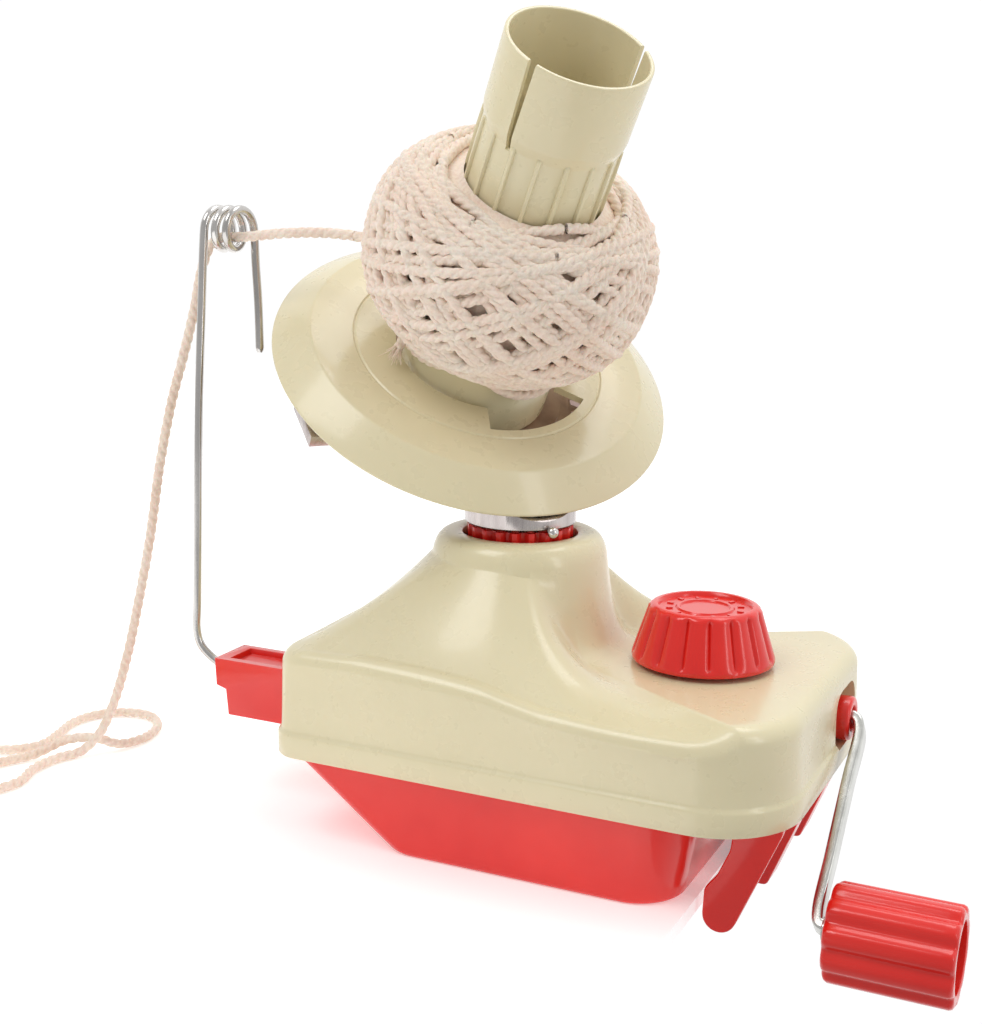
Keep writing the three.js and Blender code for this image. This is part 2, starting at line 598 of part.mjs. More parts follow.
function windingCone() {
  const { rim, rimAt, body, neck, bottom, wall, floorAt } = CONE;
  const outer = turned([
    [0, down(bottom)], [neck, down(bottom)], [neck, down(40)], [body, down(18)],
    [body, down(-26)], [rim - 0.2, down(-29)], [rim, down(rimAt)], [0, down(rimAt)],
  ], 32);
  const inside = join(
    turned([[0, down(floorAt)], [body - wall, down(floorAt)], [body - wall, down(-28)],
      [rim - wall, down(rimAt - 1)], [0, down(rimAt - 1)]], 32),
    turned([[0, down(bottom + 1)], [neck - wall, down(bottom + 1)], [neck - wall, down(41)],
      [body - wall, down(floorAt + 3.4)], [0, down(floorAt + 2.4)]], 32),
  );
  const hub = ring(5.8, 8.4, down(30), down(17.5), 24);
  const ribs = Array.from({ length: RIBS.count }, (_, k) => box(
    body - 0.6, RIBS.reach, -RIBS.width / 2, RIBS.width / 2, down(RIBS.to), down(RIBS.from),
  ).rotate([0, 0, 360 * (k + 0.5) / RIBS.count]));
  const slit = solid(extruded([[-0.7, 25], [0.7, 25], [1.5, 60], [-1.5, 60]], 30).rotateX(Math.PI / 2)
    .rotateZ(Math.PI / 2));
  const slits = [-62, 92].map((turn) => slit.translate([30, 0, 0]).rotate([0, 0, turn]));
  return cut(join(cut(outer, inside), hub, ...ribs), rod(5.8, -40, 0), ...slits);
}

function yarnBall() {
  const profile = [];
  const steps = 8;
  for (let k = 0; k <= steps; k++) {
    const across = Math.cos(Math.PI * k / steps);
    const s = BALL.at - BALL.half * across;
    const bulge = (1 - Math.abs(across) ** 2.4) ** (1 / 2.4);
    const inside = s > 24 ? BALL.neckInner : BALL.inner;
    profile.push([inside + 1.2 + (BALL.r - inside - 1.2) * bulge, down(s)]);
  }
  profile.push([BALL.neckInner, down(BALL.at + BALL.half)], [BALL.neckInner, down(24)]);
  profile.push([BALL.inner, down(13)], [BALL.inner, down(BALL.at - BALL.half)], profile[0]);
  return turned(profile, 22);
}

// ---------- clamp ----------
function clampKnob() {
  const outline = (z, r, depth) => Array.from({ length: KNOB.flutes * 4 }, (_, k) => {
    const a = 2 * Math.PI * k / (KNOB.flutes * 4);
    const radius = r - (k % 4 < 2 ? 0 : depth);
    return new THREE.Vector3(radius * Math.cos(a), radius * Math.sin(a), z);
  });
  const { z0, z1, r0, r1 } = KNOB;
  const sides = skin([outline(z0, r0, 0.1), outline(z0 + 2.4, r0 - 0.2, 0.9), outline(z1 - 2.4, r1 + 0.4, 0.9)]);
  const top = r1 - 0.75;
  const cap = turned([[0, z1 - 3], [top, z1 - 3], [top, z1 - 0.6], [top - 0.6, z1], [top - 1.6, z1],
    [top - 2.2, z1 - 1.2], [0, z1 - 1.2]], 28);
  return cut(join(sides, cap), rod(SCREW_R + GAP, 50, 63), rod(12, 53, 58.5)).translate([KNOB.x, 0, 0]);
}

function clampScrew() {
  return join(
    turned([[0, 3.4], [3, 3.4], [3, 6.3], [SCREW_R, 6.3], [SCREW_R, 62.6], [0, 62.6]], 20),
    ring(SCREW_R - 0.5, 7.2, 44.6, 46.6, 24),
  ).translate([KNOB.x, 0, 0]);
}

function clampJaw() {
  const { half, legX, legThick, toeX, toeTop, toeThick, plateZ } = JAW;
  const legEnd = legX + legThick;
  const profile = [
    [KNOB.x, plateZ], [legX, plateZ], [legX, toeTop], [toeX + 2, toeTop], [toeX, toeTop - 2],
    [toeX, toeTop - toeThick], [legEnd - 3, toeTop - toeThick], [legEnd, toeTop - toeThick + 3],
    [legEnd, plateZ + 5], [KNOB.x, plateZ + 5],
  ];
  const carriage = join(plateXZ(profile, -half, half), rod(8, plateZ - 1, 41, KNOB.x, 0, 24));
  const nutRoom = rod(6.8, plateZ + 1.5, 42, KNOB.x, 0, 6);
  return cut(carriage, rod(SCREW_R + GAP, 20, 50, KNOB.x), nutRoom);
}

// ---------- yarn guide ----------
function guideHolder() {
  const profile = [
    [-108.5, 43.2], [-108, 34.8], [-104.6, 33.8], [-103.8, 25.8], [-75.4, 25.8], [-75.4, 28.7],
    [-66, 28.7], [-66, 43.2],
  ];
  const flange = box(-70.8, -68.6, GUIDE.y - 11, GUIDE.y + 11, 28.7, 44);
  return cut(
    join(plateXZ(profile, GUIDE.y - 8, GUIDE.y + 8), flange),
    alongX(rod(GUIDE.r + GAP, -120, -50, 0, 0, 12), GUIDE.y, GUIDE.z),
    box(-104.5, -78, GUIDE.y - 5.5, GUIDE.y + 5.5, 41.4, 44),
  );
}

function guideRoute() {
  const { y, z, coilR, coilY, coilZ } = GUIDE;
  const points = [
    [-61, y, z], [-80, y, z], [-100, y, z], [-111, y, z], [-115.5, y, z + 2], [-119.4, y, z + 5.6],
    [-120.8, y + 0.2, z + 10], [-121, y + 1, z + 18],
    [-121.6, -22, 80], [-122.2, -19, 120], [-122.5, -16, 150],
  ];
  const turns = 2.5;
  const steps = 23;
  for (let k = 0; k <= steps; k++) {
    const a = Math.PI - 2 * Math.PI * turns * k / steps;
    points.push([-122.4 + 10 * k / steps, coilY + coilR * Math.cos(a), coilZ + coilR * Math.sin(a)]);
  }
  points.push([-112, coilY + coilR, 162], [-110.2, -3.6, 150], [-107.9, -6.5, 134.5]);
  return points;
}

// ---------- yarn ----------
const LEAD_OUTER = [
  [-115.6, -8, 169.6], [-112, -8, 169.8], [-106, -8, 170.4], [-101, -8.1, 171], [-96, -8.2, 171.4],
];
const LEAD_INNER = [
  [-95.5, -8.2, 171.4], [-90, -8.2, 171.7], [-84, -8.2, 171.8], [-78, -8, 171.6], [-73.4, -7.6, 171.2],
];
const TAIL = [
  [-116, -8, 169.6], [-120, -8, 169.5], [-124.5, -8, 166.8], [-128, -8, 159], [-131, -8, 147], [-135, -9, 132],
  [-139, -10, 118], [-143, -12, 97], [-146, -14, 74], [-149, -17, 53], [-152.5, -20, 33], [-156.5, -23, 17],
  [-160.5, -26, 7], [-164.5, -30, 2.2], [-168, -37, 1.7], [-168.5, -48, 1.7], [-165, -59, 1.7], [-168.5, -69, 1.7],
  [-178, -70, 1.7], [-183.5, -62, 1.7], [-182, -50, 1.7], [-176, -39, 2.2], [-170, -31, 5.4], [-163, -26, 6],
  [-157.5, -19, 2.4], [-155, -8, 1.7], [-158.5, 3, 1.7], [-167, 9.5, 1.7], [-177, 8.5, 1.7], [-184, 2, 1.7],
  [-186, -8, 1.7], [-183, -19, 1.7], [-181, -30, 1.7], [-186, -38, 1.7], [-195, -42, 1.7], [-203, -48, 1.7],
  [-206.8, -56.5, 1.7],
];
const YARN_COIL = { x: -205.5, y: -79, inner: 12, outer: 21.8, height: 9.6 };

function yarnCoil() {
  const { inner, outer, height } = YARN_COIL;
  const [mid, half] = [(inner + outer) / 2, (outer - inner) / 2];
  const profile = [];
  for (let k = 0; k <= 8; k++) {
    const a = 2 * Math.PI * k / 8 + Math.PI / 8;
    profile.push([mid + half * Math.cos(a), 0.15 + height / 2 + height / 2 * Math.sin(a)]);
  }
  return turned(profile, 22).translate([YARN_COIL.x, YARN_COIL.y, 0]);
}

// ---------- assembly ----------
const winder = new THREE.Group();
const tiltedAxis = new THREE.Group();
tiltedAxis.applyMatrix4(tiltFrame);
winder.add(tiltedAxis);
const turretAxis = new THREE.Group();
turretAxis.position.set(TURRET.x, 0, 0);
winder.add(turretAxis);

function add(name, part, material, group = winder) {
  const mesh = new THREE.Mesh(geometryOf(part), material);
  mesh.name = name;
  group.add(mesh);
}

function addBase() {
  add('top_cover', topCover(), CREAM);
  add('base_tray', baseTray(), RED);
  fenceFingers().forEach((finger, k) => add(`fence_finger_${k + 1}`, finger, RED));
  COVER_SCREWS.forEach((place, k) => add(`cover_screw_${k + 1}`, coverScrew(place), STEEL));
  add('center_post', turned([[0, 3.3], [POST_R, 3.3], [POST_R, 96.2], [3, 96.2], [3, 103.4], [0, 103.4]], 24),
    STEEL, turretAxis);
  add('fixed_gear', fixedGear(), DARK_METAL);
  add('post_cap', ring(3.3, 5.6, 103, 104.4, 20), STEEL, turretAxis);
  add('idler_pin', rod(2, 3.3, 33.6, IDLER_X, CRANK.y, 14), STEEL);
  add('guide_holder', guideHolder(), RED);
  [[30, 34], [56.8, 60.8]].forEach(([x0, x1], k) => {
    add(`crank_bush_${k + 1}`, alongX(ring(CRANK.shaft + GAP, 5.3, x0, x1, 20)), BRONZE);
  });
}

function addCrank() {
  add('crank_shaft', alongX(rod(CRANK.shaft, IDLER_X + 5.2, 68.1)), STEEL);
  add('drive_gear', driveGear(), RED);
  add('crank_hub', crankHub(), RED);
  add('crank_arm', armSolid(), ZINC);
  const pinEnd = alongX(turned([[0, GRIP.x1 - 5.6], [5, GRIP.x1 - 5.6], [4.4, GRIP.x1 - 4], [2, GRIP.x1 - 3.4],
    [0, GRIP.x1 - 3.2]], 20), CRANK.end[0], CRANK.end[1]);
  add('grip_cap', pinEnd, STEEL);
  add('handle_grip', handleGrip(), RED);
  add('idler_gear', idlerGear(), RED);
}

function addRotor() {
  add('rotor_sleeve', ring(SLEEVE.inner, SLEEVE.outer, SLEEVE.z0, SLEEVE.z1, 28), STEEL, turretAxis);
  add('rotor_pinion', rotorPinion(), RED, turretAxis);
  add('lower_bush', ring(POST_R + GAP, SLEEVE.inner - 0.3, 11, 19, 24), BRONZE, turretAxis);
  add('upper_bush', ring(POST_R + GAP, SLEEVE.inner - 0.3, 86, 95, 24), BRONZE, turretAxis);
  add('rotor_hub_ring', castleRing(), RED);
  add('rotor_cup', rotorCup(), ZINC);
  const head = solid(new THREE.SphereGeometry(1.7, 14, 10)).translate([14.95, -10.7, 89.4]);
  add('cup_set_screw', head, STEEL, turretAxis);
  add('disc_plate', discPlate(), CREAM, tiltedAxis);
  [-47.5, 47.5].forEach((side, k) => {
    const screw = join(rod(3.1, -84, -82.3, 0, side, 14), rod(1.5, -83, -57.4, 0, side, 8));
    add(`disc_screw_${k + 1}`, screw, STEEL, tiltedAxis);
  });
  const axle = turned([[0, -84.4], [6, -84.4], [6, -82.3], [3, -82.3], [3, -12.6], [0, -12.6]], 24);
  add('tilted_axle', axle, STEEL, tiltedAxis);
  add('axle_nut', cut(rod(6, -16.4, -13.4, 0, 0, 6), rod(3.3, -20, 0)), STEEL, tiltedAxis);
}

function addCone() {
  add('cone_gear', coneGear(), DARK_METAL, tiltedAxis);
  add('winding_cone', windingCone(), CREAM, tiltedAxis);
  add('cone_bush_lower', ring(3.3, 5.5, -75, -66.5, 20), BRONZE, tiltedAxis);
  add('cone_bush_upper', ring(3.3, 5.5, -30, -17.6, 20), BRONZE, tiltedAxis);
  add('yarn_ball', yarnBall(), COTTON, tiltedAxis);
  const end = tube([[2.2, -27.6, -46.6], [2.8, -28.6, -48.8], [3.8, -29.6, -51]], circle(YARN_R, 8));
  add('yarn_end', end, COTTON, tiltedAxis);
}

function addClamp() {
  add('clamp_knob', clampKnob(), RED);
  add('clamp_screw', clampScrew(), STEEL);
  add('clamp_jaw', clampJaw(), RED);
  add('jaw_nut', cut(rod(6.4, JAW.plateZ + 1.9, 40.6, KNOB.x, 0, 6), rod(SCREW_R + GAP, 20, 50, KNOB.x)), STEEL);
  add('jaw_pad', box(16.5, 46, -8, 8, JAW.toeTop + 0.2, JAW.toeTop + 1.8), RUBBER);
}

function addGuideAndYarn() {
  add('guide_wire', tube(guideRoute(), circle(GUIDE.r, 6), 1), STEEL);
  add('guide_clip', alongX(ring(GUIDE.r + GAP, 4, -65.6, -64, 16), GUIDE.y, GUIDE.z), STEEL);
  add('yarn_lead_outer', tube(LEAD_OUTER, circle(YARN_R, 8), 1), COTTON);
  add('yarn_lead_inner', tube(LEAD_INNER, circle(YARN_R, 8), 1), COTTON);
  add('yarn_tail', tube(TAIL, circle(YARN_R, 8), 1), COTTON);
  add('yarn_coil', yarnCoil(), COTTON);
}

addBase();
addCrank();
addRotor();
addCone();
addClamp();
addGuideAndYarn();

export default winder;
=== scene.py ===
"""Looks of the hand-cranked yarn ball winder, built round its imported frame.

Sizes are in millimetres until a mesh is made.
"""

import json
import math

import bmesh
import bpy
import numpy as np
from mathutils import Matrix, Vector

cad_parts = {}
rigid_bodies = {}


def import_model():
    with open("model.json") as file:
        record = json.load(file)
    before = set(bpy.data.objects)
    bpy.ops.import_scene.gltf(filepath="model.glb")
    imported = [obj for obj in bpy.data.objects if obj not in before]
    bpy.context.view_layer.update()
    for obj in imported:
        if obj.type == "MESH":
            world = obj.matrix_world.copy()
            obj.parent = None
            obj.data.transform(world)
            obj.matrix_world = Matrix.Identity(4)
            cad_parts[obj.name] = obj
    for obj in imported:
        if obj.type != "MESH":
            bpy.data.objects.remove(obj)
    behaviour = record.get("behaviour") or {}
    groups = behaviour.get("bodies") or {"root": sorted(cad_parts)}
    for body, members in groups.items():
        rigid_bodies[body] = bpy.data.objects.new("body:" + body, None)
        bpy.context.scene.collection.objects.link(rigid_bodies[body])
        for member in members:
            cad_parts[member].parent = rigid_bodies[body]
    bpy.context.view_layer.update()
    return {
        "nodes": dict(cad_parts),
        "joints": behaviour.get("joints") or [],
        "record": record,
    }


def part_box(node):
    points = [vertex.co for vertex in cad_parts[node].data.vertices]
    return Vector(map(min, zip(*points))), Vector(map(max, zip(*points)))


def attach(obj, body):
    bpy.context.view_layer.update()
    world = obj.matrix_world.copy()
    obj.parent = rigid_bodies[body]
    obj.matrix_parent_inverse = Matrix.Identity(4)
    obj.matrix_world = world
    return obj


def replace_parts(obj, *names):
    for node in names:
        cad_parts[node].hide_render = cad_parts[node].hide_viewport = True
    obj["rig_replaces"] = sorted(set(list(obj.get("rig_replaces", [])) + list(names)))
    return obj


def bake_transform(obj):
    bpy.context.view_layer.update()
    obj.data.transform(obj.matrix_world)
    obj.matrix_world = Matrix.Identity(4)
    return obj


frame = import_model()
MM = 0.001


# ---------- places taken from the frame ----------
def joint(name):
    return next(j for j in frame["joints"] if j["name"] == name)


def box_mm(node):
    low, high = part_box(node)
    return np.array(low) / MM, np.array(high) / MM


UP = np.array([0.0, 0.0, 1.0])
APEX = np.array(joint("cone_spin")["pos_m"]) / MM
TILT_AXIS = np.array(joint("cone_spin")["axis"])
TURRET_X = joint("rotor_spin")["pos_m"][0] / MM
CRANK_Y, CRANK_Z = (v / MM for v in joint("crank_turn")["pos_m"][1:])
GRIP_Y, GRIP_Z = (v / MM for v in joint("grip_spin")["pos_m"][1:])
KNOB_X = joint("knob_turn")["pos_m"][0] / MM
TILT = math.acos(TILT_AXIS[2])
ACROSS = np.cross(UP, TILT_AXIS) / math.sin(TILT)
DOWNHILL = np.cross(ACROSS, TILT_AXIS)


def tilted(points):
    """Points about the cone's axis put into the row frame, from where it crosses the turret's axis."""
    p = np.asarray(points, float)
    return APEX + p[:, :1] * DOWNHILL + p[:, 1:2] * ACROSS + p[:, 2:] * TILT_AXIS


def on_knob(points):
    return np.asarray(points, float) + [KNOB_X, 0, 0]


def along_x(points, y, z):
    """Points about +Z laid down so that +Z runs along +X through (y, z)."""
    p = np.asarray(points, float)
    return np.column_stack([p[:, 2], p[:, 1] + y, z - p[:, 0]])


def spun(points, angle):
    """Points turned about +Z."""
    p = np.asarray(points, float)
    cos, sin = math.cos(angle), math.sin(angle)
    return np.column_stack([p[:, 0] * cos - p[:, 1] * sin, p[:, 0] * sin + p[:, 1] * cos, p[:, 2]])


def lifted(outline, z):
    """A flat outline at one height, or at a height for each of its points."""
    return np.column_stack([outline, np.broadcast_to(z, len(outline))])


# ---------- materials ----------
def nodes_of(name):
    material = bpy.data.materials.new(name)
    material["slot"] = name
    material.use_nodes = True
    tree = material.node_tree
    return material, tree, tree.nodes["Principled BSDF"]


def noise(tree, scale, detail=3.0, stretch=(1, 1, 1), roughness=0.55):
    place = tree.nodes.new("ShaderNodeTexCoord")
    mapping = tree.nodes.new("ShaderNodeMapping")
    mapping.inputs["Scale"].default_value = stretch
    texture = tree.nodes.new("ShaderNodeTexNoise")
    texture.inputs["Scale"].default_value = scale
    texture.inputs["Detail"].default_value = detail
    texture.inputs["Roughness"].default_value = roughness
    tree.links.new(place.outputs["Object"], mapping.inputs["Vector"])
    tree.links.new(mapping.outputs["Vector"], texture.inputs["Vector"])
    return texture.outputs["Fac"]


def ramp(tree, value, stops):
    node = tree.nodes.new("ShaderNodeValToRGB")
    elements = node.color_ramp.elements
    while len(elements) < len(stops):
        elements.new(0.5)
    for element, (at, color) in zip(elements, stops):
        element.position = at
        element.color = (*color, 1)
    tree.links.new(value, node.inputs["Fac"])
    return node.outputs["Color"]


def spread(tree, value, low, high):
    node = tree.nodes.new("ShaderNodeMapRange")
    node.inputs["To Min"].default_value = low
    node.inputs["To Max"].default_value = high
    tree.links.new(value, node.inputs["Value"])
    return node.outputs["Result"]


def bump(tree, shader, height, strength, distance):
    node = tree.nodes.new("ShaderNodeBump")
    node.inputs["Strength"].default_value = strength
    node.inputs["Distance"].default_value = distance
    tree.links.new(height, node.inputs["Height"])
    tree.links.new(node.outputs["Normal"], shader.inputs["Normal"])


def plastic(name, dark, light, gloss, scatter):
    """Moulded plastic: a faint cloudiness, a slightly uneven gloss and a skin that isn't perfectly flat."""
    material, tree, shader = nodes_of(name)
    cloud = noise(tree, 28)
    tree.links.new(ramp(tree, cloud, [(0.3, dark), (0.7, light)]), shader.inputs["Base Color"])
    tree.links.new(spread(tree, noise(tree, 160), *gloss), shader.inputs["Roughness"])
    bump(tree, shader, noise(tree, 45, 2), 0.05, 0.002)
    shader.inputs["Subsurface Weight"].default_value = scatter
    shader.inputs["Subsurface Scale"].default_value = 0.002
    shader.inputs["Subsurface Radius"].default_value = (1.0, 0.7, 0.4)
    shader.inputs["Coat Weight"].default_value = 0.25
    shader.inputs["Coat Roughness"].default_value = 0.08
    return material


def metal(name, dark, light, gloss, stretch, scale=120, strength=0.15):
    material, tree, shader = nodes_of(name)
    shader.inputs["Metallic"].default_value = 1
    grain = noise(tree, scale, 4, stretch)
    tree.links.new(ramp(tree, grain, [(0.3, dark), (0.7, light)]), shader.inputs["Base Color"])
    tree.links.new(spread(tree, noise(tree, scale * 2, 3, stretch), *gloss), shader.inputs["Roughness"])
    bump(tree, shader, grain, strength, 0.0002)
    return material


def cotton(name):
    """Undyed cotton with fine fibres on every ply. Its colour is darker and warmer where the fibre bump is
    low, which is painted shade in the fibre hollows.
    """
    material, tree, shader = nodes_of(name)
    fibre = noise(tree, 900, 4)
    patch = noise(tree, 60)
    mix = tree.nodes.new("ShaderNodeMix")
    mix.data_type = "RGBA"
    mix.inputs["Factor"].default_value = 0.45
    # painted shade: the fibre noise that raises the bump also darkens and warms the colour in its low places
    fibre_hollow_shade_color = ramp(tree, fibre, [(0.25, (0.72, 0.52, 0.41)), (0.6, (0.93, 0.80, 0.68))])
    patch_color = ramp(tree, patch, [(0.3, (0.80, 0.61, 0.49)), (0.7, (0.94, 0.84, 0.73))])
    tree.links.new(fibre_hollow_shade_color, mix.inputs["A"])
    tree.links.new(patch_color, mix.inputs["B"])
    tree.links.new(mix.outputs["Result"], shader.inputs["Base Color"])
    bump(tree, shader, fibre, 0.5, 0.0005)
    shader.inputs["Roughness"].default_value = 0.9
    shader.inputs["Sheen Weight"].default_value = 0.25
    shader.inputs["Sheen Roughness"].default_value = 0.5
    shader.inputs["Subsurface Weight"].default_value = 0.12
    shader.inputs["Subsurface Scale"].default_value = 0.001
    return material


def pad_rubber(name):
    material, tree, shader = nodes_of(name)
    grain = noise(tree, 500)
    color = ramp(tree, grain, [(0.3, (0.02, 0.02, 0.02)), (0.7, (0.05, 0.05, 0.05))])
    tree.links.new(color, shader.inputs["Base Color"])
    bump(tree, shader, grain, 0.3, 0.0005)
    shader.inputs["Roughness"].default_value = 0.8
    return material


def table_top():
    material, tree, shader = nodes_of("table_top")
    grain = noise(tree, 40)
    color = ramp(tree, grain, [(0.3, (0.93, 0.93, 0.93)), (0.7, (0.95, 0.95, 0.95))])
    tree.links.new(color, shader.inputs["Base Color"])
    shader.inputs["Roughness"].default_value = 0.6
    shader.inputs["Emission Color"].default_value = (1, 1, 1, 1)
    shader.inputs["Emission Strength"].default_value = 0.3
    return material


CREAM = plastic("cream_plastic", (0.70, 0.625, 0.405), (0.735, 0.66, 0.435), (0.24, 0.32), 0.08)
RED = plastic("red_plastic", (0.72, 0.012, 0.008), (0.82, 0.025, 0.016), (0.16, 0.26), 0.12)
STEEL = metal("steel", (0.50, 0.48, 0.46), (0.78, 0.76, 0.74), (0.10, 0.24), (1, 1, 0.12), strength=0.04)
ZINC = metal("zinc", (0.55, 0.55, 0.52), (0.74, 0.74, 0.71), (0.18, 0.32), (0.3, 1, 1), strength=0.08)
CUP = metal("cup_metal", (0.45, 0.40, 0.39), (0.66, 0.61, 0.59), (0.2, 0.34), (1, 1, 0.05), 260, 0.06)
BRONZE = metal("bronze", (0.34, 0.24, 0.22), (0.50, 0.37, 0.33), (0.3, 0.45), (1, 1, 1))
RUBBER = pad_rubber("rubber")
COTTON = cotton("cotton_yarn")
FINISHES = {m["slot"]: m for m in (CREAM, RED, STEEL, ZINC, CUP, BRONZE, RUBBER, COTTON)}


# ---------- mesh helpers ----------
BOX_FACES = [(3, 2, 1, 0), (4, 5, 6, 7), (0, 1, 5, 4), (1, 2, 6, 5), (2, 3, 7, 6), (3, 0, 4, 7)]


def plain_object(name, points, faces):
    mesh = bpy.data.meshes.new(name)
    mesh.from_pydata((np.asarray(points, float) * MM).tolist(), [], [list(f) for f in faces])
    made = bmesh.new()
    made.from_mesh(mesh)
    bmesh.ops.remove_doubles(made, verts=made.verts, dist=2e-6)
    bmesh.ops.recalc_face_normals(made, faces=made.faces)
    made.to_mesh(mesh)
    made.free()
    obj = bpy.data.objects.new(name, mesh)
    bpy.context.scene.collection.objects.link(obj)
    return obj


def finished(obj, finish, body, nodes=(), sharp=32):
    """Gives an object its finish and its shading, and lets it ride on a body in place of CAD nodes."""
    mesh = obj.data
    mesh.shade_smooth()
    mesh.set_sharp_from_angle(angle=math.radians(sharp))
    mesh.materials.clear()
    mesh.materials.append(finish)
    if body:
        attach(obj, body)
    if nodes:
        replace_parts(obj, *nodes)
    return obj


def piece(name, parts, finish, body, nodes=(), sharp=32):
    """One object from several (points, faces) parts."""
    points, faces = [], []
    for some_points, some_faces in parts:
        start = len(points)
        points.extend(np.asarray(some_points, float).tolist())
        faces.extend([[i + start for i in face] for face in some_faces])
    return finished(plain_object(name, points, faces), finish, body, nodes, sharp)


def apply_modifiers(obj):
    bpy.context.view_layer.update()
    made = bpy.data.meshes.new_from_object(obj.evaluated_get(bpy.context.evaluated_depsgraph_get()))
    obj.modifiers.clear()
    obj.data = made
    return obj


def combine(target, part, operation):
    """Joins or cuts target with a (points, faces) part."""
    tool = plain_object("tool", *part)
    modifier = target.modifiers.new("combine", "BOOLEAN")
    modifier.object = tool
    modifier.operation = operation
    modifier.solver = "EXACT"
    apply_modifiers(target)
    bpy.data.objects.remove(tool)
    return target


def bands(rows, count, closed_rows=False, capped=True):
    """Faces between rings of points that each have count points."""
    faces = []
    for k in range(rows if closed_rows else rows - 1):
        low, high = k * count, ((k + 1) % rows) * count
        for i in range(count):
            j = (i + 1) % count
            faces.append((low + i, low + j, high + j, high + i))
    if capped and not closed_rows:
        faces.append(tuple(range(count))[::-1])
        faces.append(tuple(range((rows - 1) * count, rows * count)))
    return faces


def stacked(rings, closed=False):
    rings = [np.asarray(r, float) for r in rings]
    return np.vstack(rings), bands(len(rings), len(rings[0]), closed)


def soften(corners, radius, steps=4, closed=True):
    """A polyline with its corners rounded. A corner given as (x, y, r) has a radius of its own."""
    points = []
    count = len(corners)
    for i, corner in enumerate(corners):
        here = np.array(corner[:2], float)
        if not closed and i in (0, count - 1):
            points.append(here)
            continue
        before = np.array(corners[i - 1][:2], float) - here
        after = np.array(corners[(i + 1) % count][:2], float) - here
        lengths = [np.linalg.norm(before), np.linalg.norm(after)]
        reach = min(corner[2] if len(corner) > 2 else radius, 0.48 * min(lengths))
        if reach < 0.02:
            points.append(here)
            continue
        a, b = here + before / lengths[0] * reach, here + after / lengths[1] * reach
        for t in np.linspace(0, 1, steps + 1):
            points.append((1 - t) ** 2 * a + 2 * t * (1 - t) * here + t * t * b)
    return np.array(points)


def turned(profile, radius=0.4, segments=96, steps=3):
    """A closed profile of (radius, z) corners, softened and turned about Z."""
    outline = soften(profile, radius, steps)
    outline[:, 0] = np.maximum(outline[:, 0], 0)
    rings = [lifted(round_section(r, segments), z) for r, z in outline]
    return stacked(rings, closed=True)


def solid_turned(profile, radius=0.4, segments=96, steps=3):
    """As turned, for a profile that starts and ends on the axis."""
    outline = soften(profile, radius, steps, closed=False)
    rings = [lifted(round_section(max(r, 1e-4), segments), z) for r, z in outline]
    return stacked(rings)


def prism(outline, z0, z1, round_by=0.0, steps=3):
    """An outline in XY raised from z0 to z1, its two edges rounded."""
    outline = np.asarray(outline, float)
    normals = outline_normals(outline)
    levels = [(0, 0)]
    if round_by:
        quarter = np.linspace(0, math.pi / 2, steps + 1)
        levels = [(round_by * (1 - math.sin(q)), round_by * (1 - math.cos(q))) for q in quarter]
    rings = []
    for inset, rise in levels:
        rings.append(lifted(outline - normals * inset, z0 + rise))
    for inset, rise in levels[::-1]:
        rings.append(lifted(outline - normals * inset, z1 - rise))
    return stacked(rings)


def outline_normals(outline):
    ahead = np.roll(outline, -1, 0) - np.roll(outline, 1, 0)
    ahead /= np.linalg.norm(ahead, axis=1)[:, None] + 1e-12
    normals = np.column_stack([ahead[:, 1], -ahead[:, 0]])
    x, y = outline[:, 0], outline[:, 1]
    area = np.sum(x * np.roll(y, -1) - np.roll(x, -1) * y)
    return normals if area > 0 else -normals


def moved(part, place, *values):
    points, faces = part
    return place(points, *values), faces


def spline(points, step):
    """A centripetal Catmull-Rom curve through the points, sampled about every step millimetres."""
    p = np.asarray(points, float)
    p = np.vstack([2 * p[0] - p[1], p, 2 * p[-1] - p[-2]])
    out = []
    for a, b, c, d in zip(p[:-3], p[1:-2], p[2:-1], p[3:]):
        t = np.cumsum([0] + [max(np.linalg.norm(q - r), 1e-6) ** 0.5 for q, r in ((b, a), (c, b), (d, c))])
        count = max(2, int(np.linalg.norm(c - b) / step) + 1)
        for u in np.linspace(t[1], t[2], count, endpoint=False):
            ab = ((t[1] - u) * a + (u - t[0]) * b) / (t[1] - t[0])
            bc = ((t[2] - u) * b + (u - t[1]) * c) / (t[2] - t[1])
            cd = ((t[3] - u) * c + (u - t[2]) * d) / (t[3] - t[2])
            abc = ((t[2] - u) * ab + (u - t[0]) * bc) / (t[2] - t[0])
            bcd = ((t[3] - u) * bc + (u - t[1]) * cd) / (t[3] - t[1])
            out.append(((t[2] - u) * abc + (u - t[1]) * bcd) / (t[2] - t[1]))
    out.append(p[-2])
    return np.array(out)


def even(path, step, closed=False):
    """The same path with its points an equal length apart, and that length along it."""
    p = np.vstack([path, path[:1]]) if closed else np.asarray(path)
    s = np.concatenate([[0], np.cumsum(np.linalg.norm(np.diff(p, axis=0), axis=1))])
    count = max(3, int(round(s[-1] / step)))
    at = np.linspace(0, s[-1], count + 1)[: count if closed else count + 1]
    return np.column_stack([np.interp(at, s, p[:, k]) for k in range(3)]), at


def carried_frames(path, closed=False):
    """Two directions across the path at each point, carried along it without needless twist."""
    ahead = np.roll(path, -1, 0) - np.roll(path, 1, 0)
    if not closed:
        ahead[0], ahead[-1] = path[1] - path[0], path[-1] - path[-2]
    ahead /= np.linalg.norm(ahead, axis=1)[:, None]
    side = np.cross(ahead[0], [0.31, 0.17, 0.93])
    sides = []
    for t in ahead:
        side = side - t * side.dot(t)
        side /= np.linalg.norm(side)
        sides.append(side)
    sides = np.array(sides)
    return sides, np.cross(ahead, sides)


